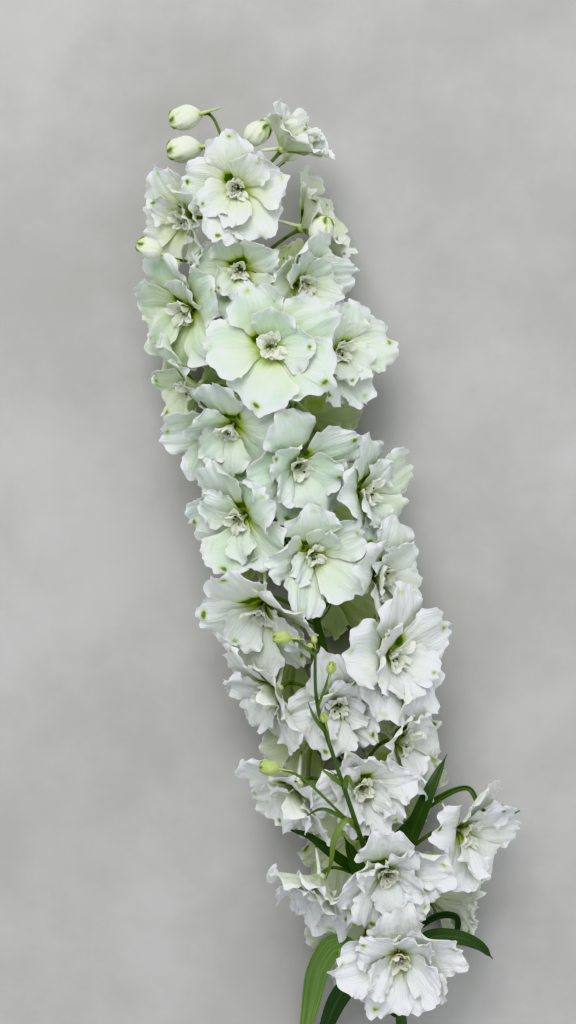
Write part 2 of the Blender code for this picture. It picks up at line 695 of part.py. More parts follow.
def make_stem(placed, group, slot):
    """Main stem, side shoot, all pedicels, bud stalks and bracts as one grown piece."""
    line = smooth_route(STEM_ROUTE, STEM_RINGS)
    body = tube_object("stem_body", line, stem_radius(np.linspace(0, 1, STEM_RINGS)), 1, group)
    shoot = smooth_route(SHOOT_ROUTE, SHOOT_RINGS)
    pieces = [tube_object("shoot", shoot, np.linspace(SHOOT_RADIUS_ROOT, SHOOT_RADIUS_TIP, SHOOT_RINGS), 0, group)]
    stalks = [(pedicel_line(row, *floret_frame(row)), PEDICEL_RADIUS) for _, _, row in placed]
    stalks += [(stalk, BUD_STALK_RADIUS) for stalk in bud_stalks()]
    for number, (stalk, radius) in enumerate(stalks):
        pieces.append(tube_object(f"stalk_{number}", stalk, np.full(len(stalk), radius), 0, group))
    for number, (_, _, row) in enumerate(placed):
        pieces.append(make_bract(number, row))
    for number, (seat, direction, length, _) in enumerate(SHOOT_BUDS):
        pieces.append(turned_object(f"shoot_bud_{number}", bud_profile(length), SHOOT_BUD_SIDES,
                                    np.array(seat, float), bud_axes(direction)))
    return fused("stem", body, pieces, group, slot)


def make_bract(number, row):
    """A slender three-sided bract under the root of a pedicel."""
    centre, direction, up, side = stem_at(row[0] - PEDICEL_RISE - BRACT_BELOW)
    turn = math.radians(row[1])
    outward = up * math.cos(turn) + side * math.sin(turn)
    pointing = Vector(unit(outward + 0.75 * direction))
    shape = bmesh.new()
    bmesh.ops.create_cone(shape, cap_ends=True, segments=3, radius1=BRACT_RADIUS * MM, radius2=0,
                          depth=BRACT_LENGTH * MM)
    mesh = bpy.data.meshes.new(f"bract_{number}")
    shape.to_mesh(mesh)
    shape.free()
    obj = bpy.data.objects.new(f"bract_{number}", mesh)
    middle = Vector(centre) * MM + pointing * BRACT_LENGTH * MM / 2
    obj.matrix_world = Matrix.Translation(middle) @ pointing.to_track_quat("Z", "Y").to_matrix().to_4x4()
    return obj


def seat_on_surface(nodes):
    """Centres the spike over the origin and sets its lowest blades flat on the surface."""
    points = [np.array([vertex.co for vertex in node.data.vertices]) for node in nodes]
    every = np.vstack(points)
    low, high = every.min(axis=0), every.max(axis=0)
    shift = Vector((-(low[0] + high[0]) / 2, -(low[1] + high[1]) / 2, -low[2]))
    print("shift mm", [round(value / MM, 2) for value in shift])
    for node in nodes:
        node.data.transform(Matrix.Translation(shift))
        for vertex in node.data.vertices:
            if vertex.co.z < SEAT_BAND * MM:
                vertex.co.z = 0


def main():
    clear_scene()
    group = collection("Delphinium_spike")
    slots = {name: material(name) for name in COLOURS}
    nodes = []

    leaf_trees = []
    leaves = []
    for number, place in enumerate(LEAVES):
        name = f"leaf_{number + 1:02d}"
        leaf_trees.append(tree_of(sheet_triangles(leaf_surface(*coarse_grid(7, 3), *place))))
        leaf = blade_object(name + "_blade", 7, 3, lambda a, v: leaf_surface(a, v, *place))
        leaves.append(leaf)
        group.objects.link(leaf)
        mesh = bpy.data.meshes.new_from_object(leaf.evaluated_get(bpy.context.evaluated_depsgraph_get()))
        bpy.data.objects.remove(leaf)
        nodes.append(link(bpy.data.objects.new(name, mesh), group, slots["leaf"]))

    bud_trees = []
    for number, (seat, direction, length, _) in enumerate(BUDS + SHOOT_BUDS):
        bud_trees.append(bud_test(seat, direction, length))
        if number < len(BUDS):
            name = f"bud_{number + 1:02d}"
            body, spur = bud_pieces(name, seat, direction, length, group)
            nodes.append(fused(name, body, [spur], group, slots["bud"]))

    green_trees = [tree_of(tube_triangles(smooth_route(STEM_ROUTE, 60), stem_radius(np.linspace(0, 1, 60)) + 0.4)),
                   tree_of(tube_triangles(smooth_route(SHOOT_ROUTE, 30), np.linspace(1.9, 1.1, 30)))]
    green_trees += [tree_of(tube_triangles(stalk, np.full(len(stalk), BUD_STALK_RADIUS + STALK_MARGIN)))
                    for stalk in bud_stalks()]
    placed = place_florets(green_trees, leaf_trees + bud_trees)
    for number, (index, _, row) in enumerate(placed):
        nodes.append(make_floret(f"floret_{number + 1:02d}", index, row, group, slots["petal"]))
    nodes.append(make_stem(placed, group, slots["stem"]))
    seat_on_surface(nodes)
    print("triangles", sum(sum(len(face.vertices) - 2 for face in node.data.polygons) for node in nodes))


main()
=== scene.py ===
import math

import bpy
import numpy as np
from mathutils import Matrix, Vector


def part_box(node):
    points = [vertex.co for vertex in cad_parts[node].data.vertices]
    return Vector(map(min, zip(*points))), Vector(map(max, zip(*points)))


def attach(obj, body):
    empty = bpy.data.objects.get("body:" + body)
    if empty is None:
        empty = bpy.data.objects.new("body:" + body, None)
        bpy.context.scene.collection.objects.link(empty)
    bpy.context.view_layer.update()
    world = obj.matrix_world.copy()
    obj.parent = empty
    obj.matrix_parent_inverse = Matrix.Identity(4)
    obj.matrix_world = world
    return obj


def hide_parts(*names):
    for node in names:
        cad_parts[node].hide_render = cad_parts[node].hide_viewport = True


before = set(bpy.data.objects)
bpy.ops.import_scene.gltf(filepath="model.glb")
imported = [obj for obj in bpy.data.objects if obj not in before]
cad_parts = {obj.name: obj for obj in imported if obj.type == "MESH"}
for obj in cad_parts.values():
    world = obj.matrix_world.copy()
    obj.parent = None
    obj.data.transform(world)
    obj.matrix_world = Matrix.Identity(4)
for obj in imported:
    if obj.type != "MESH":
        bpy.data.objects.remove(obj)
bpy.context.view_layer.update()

# The spike is drawn in millimetres, +Y from the cut end to the tip and Z up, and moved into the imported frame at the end
spike = {
    "origin": (-21.32, 86.54, -0.07),    # where the drawing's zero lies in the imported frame, mm
    "pressFloor": 0.42,                  # lowest middle of a blade that the surface presses flat, mm
    "pressSoftness": 1.0,                # mm over which that press sets in
    "sharpDegrees": 65,                  # edges sharper than this keep their crease
}


def unit(vectors):
    # each vector divided by its own length
    return vectors / np.maximum(np.linalg.norm(vectors, axis=-1, keepdims=True), 1e-9)


def aslant(first, second, angle):
    # the direction at an angle from the first vector towards the second
    return first * math.cos(angle) + second * math.sin(angle)


def ease(x, low, high):
    # 0 below low, 1 above high, and 3t^2 - 2t^3 between them
    t = np.clip((x - low) / (high - low), 0, 1)
    return t * t * (3 - 2 * t)


def press(points):
    # height becomes floor + softness * ln(1 + e^((height - floor) / softness)), so low points lie flat on the surface
    pressed = points.copy()
    height = (points[..., 2] - spike["pressFloor"]) / spike["pressSoftness"]
    pressed[..., 2] = spike["pressFloor"] + spike["pressSoftness"] * np.logaddexp(0, height)
    return pressed


def atShares(line, shares):
    # points of a line at the wanted shares of its length, by straight interpolation
    places = np.linspace(0, 1, len(line))
    return np.stack([np.interp(shares, places, line[:, axis]) for axis in range(3)], axis=-1)


def smoothRoute(points, count):
    # a Catmull-Rom curve, half of 2p1 + (p2-p0)t + (2p0-5p1+4p2-p3)t^2 + (3p1-p0-3p2+p3)t^3 on each span,
    # then cut again at even steps of its length
    points = np.array(points, float)
    ends = np.vstack([2 * points[0] - points[1], points, 2 * points[-1] - points[-2]])
    t = np.linspace(0, 1, 16, endpoint=False)[:, None]
    p0, p1, p2, p3 = (ends[n:len(ends) - 3 + n, None] for n in range(4))
    dense = 0.5 * (2 * p1 + (p2 - p0) * t + (2 * p0 - 5 * p1 + 4 * p2 - p3) * t ** 2
                   + (3 * p1 - p0 - 3 * p2 + p3) * t ** 3)
    dense = np.vstack([dense.reshape(-1, 3), points[-1:]])
    lengths = np.concatenate([[0], np.cumsum(np.linalg.norm(np.diff(dense, axis=0), axis=1))])
    wanted = np.linspace(0, lengths[-1], count)
    return np.stack([np.interp(wanted, lengths, dense[:, axis]) for axis in range(3)], axis=-1)


def drawn(seed, shape, lowest=-1):
    # seeded numbers from the lowest to 1
    return np.random.default_rng(seed).uniform(lowest, 1, shape)


def shareGrid(rows, columns):
    # every pair of a share along (0 to 1) and a share across (-1 to 1)
    return np.meshgrid(np.linspace(0, 1, rows), np.linspace(-1, 1, columns), indexing="ij")


def threefold(x, y, z):
    # three arrays or numbers side by side as vectors
    return np.stack(np.broadcast_arrays(x, y, z), axis=-1).astype(float)


def marked(like, place, tint, tone=(0.0, 0.0, 0.0)):
    # three marks for every point of like, each made of three arrays or numbers, for the finishes to read
    return {name: threefold(*values) + 0 * like[..., None]
            for name, values in (("place", place), ("tint", tint), ("tone", tone))}


def sheetPart(points, thickness, marks):
    # a closed sheet: the grid moved half the thickness to each side along its normals, joined round its rim;
    # the mark "face" is 1 on its back and 0 on its front
    rows, columns = points.shape[:2]
    normal = np.cross(np.gradient(points, axis=0), np.gradient(points, axis=1))
    normal[0], normal[-1] = normal[1], normal[-2]
    normal[:, 0], normal[:, -1] = normal[:, 1], normal[:, -2]
    normal = unit(normal) * np.broadcast_to(thickness, (rows, columns))[..., None] / 2
    back = np.repeat([1.0, 0.0], rows * columns)
    n = np.arange(rows * columns).reshape(rows, columns)
    top = np.stack([n[:-1, :-1], n[1:, :-1], n[1:, 1:], n[:-1, 1:]], axis=-1).reshape(-1, 4)
    ring = np.concatenate([n[:-1, 0], n[-1, :-1], n[:0:-1, -1], n[0, :0:-1]])
    following = np.roll(ring, -1)
    rim = np.stack([following, ring, ring + n.size, following + n.size], axis=-1)
    return {
        "points": np.concatenate([(points + normal).reshape(-1, 3), (points - normal).reshape(-1, 3)]),
        "quads": np.concatenate([top, top[:, ::-1] + n.size, rim]),
        "triangles": np.zeros((0, 3), int),
        "marks": {**{name: np.tile(mark.reshape(-1, 3), (2, 1)) for name, mark in marks.items()},
                  "face": threefold(back, 0.0, 0.0)},
    }


def ringPart(rings, poles, marks):
    # a closed body: faces between each ring of points and the next, and each end closed on its pole
    count, sides = rings.shape[:2]
    n = np.arange(count * sides).reshape(count, sides)
    after = np.roll(n, -1, axis=1)
    ends = [np.stack([np.full(sides, n.size), after[0], n[0]], axis=-1),
            np.stack([np.full(sides, n.size + 1), n[-1], after[-1]], axis=-1)]
    return {
        "points": np.concatenate([rings.reshape(-1, 3), poles]),
        "quads": np.stack([n[:-1], after[:-1], after[1:], n[1:]], axis=-1).reshape(-1, 4),
        "triangles": np.concatenate(ends),
        "marks": marks,
    }


def perRing(values, sides, ends):
    # one value for every point of each ring, and then the two poles' own
    return np.append(np.repeat(values, sides), ends)


def tubePart(line, radii, sides, marks=None, tint=(0, 0, 0), tone=(0, 0, 0)):
    # a tube: rings of the given radii round the line, each end closed on a pole; radii may also differ round the tube
    tangent = unit(np.gradient(line, axis=0))
    plane = np.cross(tangent[0], tangent[-1])
    if np.linalg.norm(plane) < 0.15:      # a line that is nearly straight bends in no plane
        plane = np.eye(3)[np.argmin(np.abs(tangent.mean(axis=0)))]
    side = unit(np.cross(tangent, plane))
    other = np.cross(tangent, side)
    turn = np.linspace(0, 2 * math.pi, sides, endpoint=False)[None, :, None]
    radii = np.asarray(radii, float)
    radii = radii[:, None, None] if radii.ndim == 1 else radii[..., None]
    rings = line[:, None] + radii * (np.cos(turn) * side[:, None] + np.sin(turn) * other[:, None])
    along = perRing(np.linspace(0, 1, len(line)), sides, [0, 1])
    angle = 2 * math.pi * np.append(np.tile(np.arange(sides) / sides, len(line)), [0, 0])
    marks = marks or marked(along, (np.cos(angle), along, np.sin(angle)), tint, tone)
    return ringPart(rings, [line[0], line[-1]], marks)


def linked(name, data):
    # an object for the data, in the scene
    made = bpy.data.objects.new(name, data)
    bpy.context.scene.collection.objects.link(made)
    return made


def makePiece(name, parts, finish, replaced=()):
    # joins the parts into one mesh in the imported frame, smooth except over sharp edges
    offsets = np.cumsum([0] + [len(part["points"]) for part in parts[:-1]])
    points = (np.concatenate([part["points"] for part in parts]) + spike["origin"]) * 0.001
    quads = np.concatenate([part["quads"] + offset for part, offset in zip(parts, offsets)])
    triangles = np.concatenate([part["triangles"] + offset for part, offset in zip(parts, offsets)])
    corners = np.concatenate([quads.ravel(), triangles.ravel()])
    starts = np.concatenate([np.arange(len(quads)) * 4, quads.size + np.arange(len(triangles)) * 3])
    mesh = bpy.data.meshes.new(name)
    mesh.vertices.add(len(points))
    mesh.vertices.foreach_set("co", points.ravel())
    mesh.loops.add(len(corners))
    mesh.loops.foreach_set("vertex_index", corners.astype(np.int32))
    mesh.polygons.add(len(starts))
    mesh.polygons.foreach_set("loop_start", starts.astype(np.int32))
    mesh.update(calc_edges=True)
    for mark in ("place", "tint", "tone", "face"):
        values = np.concatenate([part["marks"].get(mark, 0 * part["points"]) for part in parts])
        mesh.attributes.new(mark, "FLOAT_VECTOR", "POINT").data.foreach_set("vector", values.ravel())
    mesh.shade_smooth()
    mesh.set_sharp_from_angle(angle=math.radians(spike["sharpDegrees"]))
    mesh.materials.append(finish)
    piece = linked(name, mesh)
    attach(piece, "root")
    if replaced:
        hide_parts(*replaced)


class Wire:
    # One output of a shader tree. Sums and products on it add Math nodes, and node() adds any other node.
    def __init__(self, tree, socket=None):
        self.tree, self.socket = tree, socket

    def node(self, kind, settings, sockets, out=0):
        made = self.tree.nodes.new("ShaderNode" + kind)
        for name, value in settings.items():
            setattr(made, name, value)
        for name, value in sockets.items():
            if isinstance(value, Wire):
                self.tree.links.new(value.socket, made.inputs[name])
            else:
                made.inputs[name].default_value = value
        return Wire(self.tree, made.outputs[out])

    def maths(self, operation, first, second):
        return self.node("Math", {"operation": operation}, {0: first, 1: second})

    def __add__(self, other):
        return self.maths("ADD", self, other)

    def __sub__(self, other):
        return self.maths("SUBTRACT", self, other)

    def __rsub__(self, other):
        return self.maths("SUBTRACT", other, self)

    def __mul__(self, other):
        return self.maths("MULTIPLY", self, other)

    __radd__ = __add__
    __rmul__ = __mul__

    def between(self, low, high):
        # 0 at low, 1 at high, smooth between them
        return self.node("MapRange", {"interpolation_type": "SMOOTHSTEP"}, {0: self, 1: low, 2: high})

    def mixed(self, colour, other):
        # colour where this is 0, other where it is 1
        sockets = {0: self}
        for name, value in ((6, colour), (7, other)):
            sockets[name] = value if isinstance(value, Wire) else (*value, 1)
        return self.node("Mix", {"data_type": "RGBA"}, sockets, out=2)

    def attribute(self, name):
        # the three numbers of a vector attribute
        vector = self.node("Attribute", {"attribute_name": name}, {}, out="Vector")
        return [self.node("SeparateXYZ", {}, {0: vector}, out=axis) for axis in "XYZ"]

    def joined(self, x, y, z):
        return self.node("CombineXYZ", {}, {0: x, 1: y, 2: z})

    def noise(self, vector, scale, detail=3.0, roughness=0.55):
        return self.node("TexNoise", {}, {"Vector": vector, "Scale": scale, "Detail": detail, "Roughness": roughness})


def newFinish(name, fixed):
    # a Principled material with its constant sockets set, and a wire to build its pattern from
    finish = bpy.data.materials.new(name)
    finish.use_nodes = True
    shader = finish.node_tree.nodes["Principled BSDF"]
    for socket, value in fixed.items():
        shader.inputs[socket].default_value = value
    return finish, Wire(finish.node_tree)


def feed(finish, wire, colour, roughness, height=None, depth=0.0003, strength=0.6):
    # links the pattern to the shader: colour, roughness, and a height through one Bump node
    shader = finish.node_tree.nodes["Principled BSDF"]
    finish.node_tree.links.new(colour.socket, shader.inputs["Base Color"])
    finish.node_tree.links.new(roughness.socket, shader.inputs["Roughness"])
    if height is not None:
        bump = wire.node("Bump", {}, {"Height": height, "Distance": depth, "Strength": strength})
        finish.node_tree.links.new(bump.socket, shader.inputs["Normal"])
    return finish


def layered(colour, look, *layers):
    # one colour of the look after another laid over the first, each by its own share
    for share, name in layers:
        colour = share.mixed(colour, look[name])
    return colour


# Petals: white with a mint cast on some, greener backs, and a yellow-green tint from the middle that is partly the
# petals' own green base and partly painted light shining through them; painted lime shade low down near the floor;
# whiter rims that are a painted highlight; soft lengthwise streaks and fine veins; a green throat that darkens into
# painted shadow in the floret's hollow and over the spur's mouth; a small olive spot with a pale ring near most tips
petalLook = {
    "white": (0.83, 0.84, 0.85), "mint": (0.47, 0.69, 0.49), "shade": (0.60, 0.67, 0.60),
    "rim": (0.92, 0.93, 0.93), "vein": (0.60, 0.69, 0.56), "greenBaseAndGlow": (0.69, 0.78, 0.42), "back": (0.66, 0.75, 0.50),
    "throatPale": (0.44, 0.56, 0.10), "throatGreenAndShadow": (0.045, 0.11, 0.008), "ring": (0.50, 0.61, 0.30),
    "spot": (0.13, 0.20, 0.03), "cream": (0.93, 0.96, 0.78), "low": (0.60, 0.73, 0.27), "old": (0.86, 0.85, 0.90),
    "aged": (0.50, 0.42, 0.26), "dry": (0.42, 0.31, 0.13),
    "fixed": {"Subsurface Weight": 0.5, "Subsurface Radius": (1.0, 1.0, 0.7), "Subsurface Scale": 0.0011,
              "IOR": 1.38, "Sheen Weight": 0.06, "Sheen Roughness": 0.5},
}


def petalFinish():
    # place is (share across, share along, rim), tint is (throat, spot, cream) and tone is (mint, chance, season)
    look = petalLook
    finish, wire = newFinish("petalWhite", look["fixed"])
    across, along, rim = wire.attribute("place")
    throat, spot, cream = wire.attribute("tint")
    mint, chance, season = wire.attribute("tone")
    back = wire.attribute("face")[0]
    where = wire.node("TexCoord", {}, {}, out="Object")
    cloud = wire.noise(where, 60.0, 2.0)
    streaks = wire.noise(wire.joined(across * 7.0, along * 1.1, chance * 40.0), 1.9, 4.0, 0.62)
    fine = wire.noise(wire.joined(across * 26.0, along * 1.6, chance * 40.0), 1.6, 2.0, 0.5)
    crepe = wire.noise(where, 900.0, 3.0, 0.6)
    crumple = wire.noise(wire.joined(across * 2.6, along * 3.4, chance * 40.0), 2.0, 4.0, 0.6)
    young = wire.maths("MAXIMUM", 0.0 - season, 0.0)
    age = wire.maths("MAXIMUM", season, 0.0)
    # low is 1 at the floor and 0 from 50 mm up; the florets that lie there get painted lime shade, for the light that
    # filters through the petals above them
    low = 1.0 - wire.node("SeparateXYZ", {}, {0: where}, out="Z").between(0.008, 0.050)
    # the throat mark gives a green throat, partly the petals' own green and partly painted shadow where it is darkest:
    # in the cup, at the roots of the blades and in the crescent over the spur's mouth
    throatAndShadow = throat * (1.0 - 0.6 * back) + 0.22 * (fine - 0.5)
    worn = age * wire.noise(where, 240.0, 3.0, 0.7).between(0.55, 0.75) * rim.between(0.6, 1.0)
    colour = layered(
        (0.8 * age).mixed(look["white"], look["old"]), look,
        (mint * (0.45 + 0.6 * cloud.between(0.3, 0.7)) * (1.0 - 0.75 * rim.between(0.5, 1.0))
         * (1.0 - 0.3 * along), "mint"),
        # a yellow-green tint, strongest at the petal's base and on young florets: partly the petals' own green base,
        # partly painted light that shines through the petals
        ((1.0 - along.between(0.05, 0.9)) * (0.28 + 0.8 * young) * (0.6 + 0.8 * streaks) * (1.0 - cream), "greenBaseAndGlow"),
        (back * (0.85 - 0.5 * along), "back"),
        # painted lime shade low down, less on old florets
        (0.55 * low * (1.0 - 0.6 * age), "low"),
        (0.6 * streaks.between(0.48, 0.70) * (1.0 - rim.between(0.75, 1.0)), "shade"),
        (0.4 * fine.between(0.55, 0.66) * (1.0 - rim.between(0.6, 0.95)), "vein"),
        # whiter rims: a painted highlight where the curved edges of the petals catch the light
        (0.5 * rim.between(0.86, 1.0), "rim"),
        (cream * (0.85 + 0.15 * cloud), "cream"),
        (0.45 * age.between(0.5, 1.0) * cream * streaks.between(0.35, 0.65), "dry"),
        (0.95 * throatAndShadow.between(0.04, 0.5), "throatPale"),
        (throatAndShadow.between(0.45, 0.85), "throatGreenAndShadow"),
        (0.8 * spot.between(0.05, 0.55), "ring"),
        ((spot + 0.3 * (streaks - 0.5)).between(0.45, 0.8), "spot"),
        (0.65 * worn, "aged"),
    )
    height = fine * 0.6 + streaks * 1.5 + crepe * 0.22 + crumple * (0.8 + 1.4 * age)
    return feed(finish, wire, colour, 0.42 + 0.22 * cloud, height, 0.0008, 0.6)


# Green finishes: lengthwise streaks between a dark and a light green, and a paler part where tint says so
greenLooks = {
    "stem": {"dark": (0.015, 0.038, 0.009), "light": (0.052, 0.105, 0.024), "young": (0.23, 0.33, 0.075),
             "cut": (0.55, 0.62, 0.36), "fixed": {"Subsurface Weight": 0.08, "Subsurface Scale": 0.001}},
    "leaf": {"dark": (0.005, 0.021, 0.005), "light": (0.017, 0.050, 0.012), "young": (0.19, 0.33, 0.085),
             "cut": (0.30, 0.40, 0.12), "back": (0.22, 0.33, 0.13), "strand": (0.045, 0.110, 0.014),
             "fixed": {"Subsurface Weight": 0.05, "Subsurface Scale": 0.001}},
}


def greenFinish(name):
    # place is (cosine round it, share along, sine round it) on tubes and (share across, share along, rim) on leaves
    look = greenLooks[name]
    finish, wire = newFinish(name + "Green", look["fixed"])
    across, along, third = wire.attribute("place")
    young, cut, rib = wire.attribute("tint")
    where = wire.node("TexCoord", {}, {}, out="Object")
    streaks = wire.noise(wire.joined(across * 9.0, along * 2.0, third * 9.0), 1.7, 3.0, 0.6)
    cloud = wire.noise(where, 120.0, 3.0)
    grain = wire.noise(where, 1500.0, 2.0)
    colour = (0.55 * streaks.between(0.35, 0.7) + 0.45 * cloud.between(0.35, 0.7)).mixed(look["dark"], look["light"])
    layers = [(young * (0.7 + 0.3 * streaks), "young")]
    height = streaks + 0.3 * grain + rib * 0.6
    if name == "leaf":      # fine parallel veins, as sin(28 across), and a paler back
        veins = wire.maths("SINE", across * 28.0, 0.0).between(0.2, 1.0)
        back = wire.attribute("face")[0]
        strands = wire.noise(wire.joined(across * 7.0, along * 0.30, 0.0), 1.0, 3.0, 0.6)
        layers += [((0.10 + 0.25 * young) * veins + 0.30 * back, "back"),
                   (0.85 * young * strands.between(0.52, 0.68), "strand"),
                   (0.45 * young * (1.0 - strands.between(0.32, 0.47)), "cut")]
        height = height + 0.5 * veins
    colour = layered(colour, look, *layers, (0.55 * rib, "young"), (cut, "cut"))
    return feed(finish, wire, colour, 0.36 + 0.2 * cloud, height, 0.0003, 0.5)


# Buds: pale green-white, olive where the sepals meet at the tip and where the stalk joins
budLook = {
    "pale": (0.70, 0.76, 0.58), "white": (0.86, 0.89, 0.83), "neck": (0.58, 0.67, 0.32),
    "olive": (0.12, 0.19, 0.035), "lime": (0.37, 0.47, 0.10),
    "fixed": {"Subsurface Weight": 0.25, "Subsurface Radius": (1.0, 1.0, 0.6), "Subsurface Scale": 0.002, "IOR": 1.4},
}


def budFinish():
    # place is (cosine round, share along from seat to tip, sine round); tint is (olive, seam, youth)
    look = budLook
    finish, wire = newFinish("budPale", look["fixed"])
    across, along, third = wire.attribute("place")
    olive, seam, youth = wire.attribute("tint")
    streaks = wire.noise(wire.joined(across * 6.0, along * 1.3, third * 6.0), 1.8, 3.0, 0.6)
    colour = layered(
        (0.6 * streaks.between(0.35, 0.65)).mixed(look["white"], look["pale"]), look,
        (0.8 * (1.0 - along.between(0.02, 0.32)), "neck"),
        (youth * 0.85, "lime"),
        (0.55 * youth * streaks.between(0.48, 0.66) * along.between(0.1, 0.7), "olive"),
        (0.3 * seam, "lime"),
        (0.8 * olive.between(0.02, 0.45), "lime"),
        ((olive + 0.25 * (streaks - 0.5)).between(0.40, 0.95), "olive"),
    )
    return feed(finish, wire, colour, 0.40 + 0.15 * streaks, streaks - 0.8 * seam, 0.0004, 0.5)


# Main stem, and the thin shoot that rises from it over the lower florets
stem = {
    "route": ((64, -378, 3.5), (62, -332, 10), (60, -290, 21), (56, -244, 33), (48, -194, 38), (36, -144, 39),
              (24, -94, 38), (12, -44, 38), (2, 6, 37), (-8, 56, 37), (-15, 106, 36), (-22, 150, 36),
              (-26, 172, 37), (-34, 190, 37)),
    "radiusCut": 3.2, "radiusTip": 0.8,
    "rings": 260, "sides": 20,
    "ridges": 0.035,          # share of the radius that its shallow ribs stand out
    "hollow": 1.5,            # depth of the pith's hollow at the cut end, and shares of the radius from it to the rim
    "hollowRadii": (0.45, 0.62, 0.93),
    "shootRoute": ((46, -186, 38), (39, -170, 62), (31, -145, 84), (22, -118, 90), (14, -92, 90), (13, -64, 87)),
    "shootRadii": (1.5, 0.7), "shootRings": 60, "shootStalk": 0.7,
    "shootBuds": (((2.5, -61, 88), (-0.97, 0.05, 0.1), 10, 0.97), ((20, -78, 95), (0.15, 0.72, 0.4), 7, 0.8),
                  ((18, -101, 97), (-0.2, 0.7, 0.5), 6, 0.66), ((-3, -124, 88), (-0.95, 0.12, 0.1), 11, 0.36)),
    "shootTips": (((13, -64, 87), (-0.15, 0.95, -0.2), 4.6), ((12.4, -65.5, 87.6), (-0.85, 0.5, 0.15), 3.6)),
    "shootBracts": (          # narrow leaves on the shoot: where they leave it, their route, half width, how light
        (0.37, ((24, -146.5, 85), (16, -143.5, 87), (8, -148, 83)), 1.1, 0.25),
        (0.34, ((28.5, -149, 84), (22.5, -158, 84), (21, -170, 79), (18.5, -181, 71)), 1.5, 0.75),
        (0.53, ((21, -127, 93), (15, -123, 92)), 1.2, 0.55), (0.50, ((28.5, -127, 93), (32, -134, 91)), 1.3, 0.6),
        (0.72, ((12.5, -98, 95), (9.5, -91, 96)), 0.9, 0.5),
    ),
    "pedicelRadius": 0.85, "pedicelRise": 13,      # the stalk leaves the stem this far below its floret
    "bractLength": 12, "bractBelow": 4, "bractThickness": 0.35,
    "bractsLow": 0.7,         # share by which the lowest bracts are longer
    "bracteoles": ((1, 13), (-1, 15)),   # the side of the stalk on which each stands, and its place along it
}
stemLine = smoothRoute(stem["route"], 400)


def stemAt(along):
    # centre, direction, upward and sideways unit vectors of the stem, by distance from the cut end along Y
    y = stem["route"][0][1] + along
    centre, ahead, behind = (np.array([np.interp(place, stemLine[:, 1], stemLine[:, axis]) for axis in range(3)])
                             for place in (y, y + 4, y - 4))
    direction = unit(ahead - behind)
    up = unit(np.array([0, 0, 1]) - direction[2] * direction)
    return centre, direction, up, np.cross(direction, up)


def stemRadius(share):
    # cut radius + (tip radius - cut radius) * share^1.15
    return stem["radiusCut"] + (stem["radiusTip"] - stem["radiusCut"]) * share ** 1.15


# Florets: the front ones by their place on the stem, the rest on a spiral that fills what these leave open.
# A row is distance from the cut end, turn of the pedicel and of the face from straight up, reach, nod, size, opening.
florets = {
    "front": (
        (162, 8, -6, 22, 14, 1.04, 92), (206, -48, -42, 30, 40, 0.92, 72), (210, 62, 34, 36, 18, 1.04, 94),
        (218, 14, 6, 25, 24, 0.92, 84), (248, -52, -44, 30, 20, 0.98, 86), (256, 50, 34, 27, 10, 1.02, 92),
        (296, 44, 22, 31, 12, 1.14, 94), (292, -34, -32, 27, 22, 1.04, 90), (344, -34, -16, 29, 32, 1.18, 86),
        (334, 66, 44, 31, 12, 1.00, 90), (381, 74, 48, 33, 10, 1.04, 90), (385, -56, -38, 27, 12, 1.00, 90),
        (401, 12, 12, 24, 26, 1.04, 90), (425, -48, -20, 33, 14, 1.10, 92), (455, 4, 6, 25, 10, 1.12, 92),
        (458, 74, 32, 33, 4, 0.96, 86), (447, -82, -60, 34, 10, 0.96, 88), (485, -62, -24, 32, 10, 1.06, 94),
        (496, 34, 24, 27, 12, 0.94, 86), (531, 14, 10, 21, 4, 0.92, 84), (527, -66, -44, 26, 4, 0.90, 84),
        (518, 82, 54, 29, -4, 0.90, 70), (550, 50, 46, 17, -44, 0.84, 58), (352, 6, 2, 17, 18, 0.86, 80),
        (286, 6, 4, 16, 16, 0.88, 80), (244, 14, 12, 17, 14, 0.88, 80), (505, -10, -8, 15, 8, 0.78, 74),
    ),
    "spiralCount": 110, "spiralTurn": 137.5, "spiralPhase": 205, "spiralFrom": 170, "spiralTo": 528,
    "spiralReach": 22, "spiralNod": 10, "spiralOpening": (90, 8),
    "spiralSpacing": 36,      # mm between faces, under which a place of the spiral stays empty
    "limit": 41,
    "faceRadius": 33,         # of the cylinder on which the faces lie
    "crowded": 44,            # mm between faces, under which two florets push each other away
    "range": (162, 550),
    "pushSteps": 60, "pushShare": 0.12, "pushShareFront": 0.04,
    "turnUp": 16,             # degrees by which the side florets of the spiral face further up
    "taper": 0.1,             # share by which the last of the spiral are smaller
    "tries": 140,
    "closeEnough": 0.9,       # mm by which a try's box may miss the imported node's box and still be taken at once
    # the most that the last try changes: mm, degrees, shares; a roll has its first and its added degrees
    "varied": {"along": 12, "turn": 26, "face": 36, "reach": 11, "nod": 26, "smaller": 0.18, "closed": 26,
               "roll": (8, 28)},
}


def roundStem(rows):
    # places on the cylinder of the faces: distance along it, and turn times its radius
    return np.array([(row[0], math.radians(row[1]) * florets["faceRadius"]) for row in rows])


def apart(places, others):
    # vectors and distances between all pairs of places, the short way round the cylinder
    between = places[:, None] - others[None]
    turn = 2 * math.pi * florets["faceRadius"]
    between[..., 1] -= turn * np.round(between[..., 1] / turn)
    return between, np.linalg.norm(between, axis=-1)


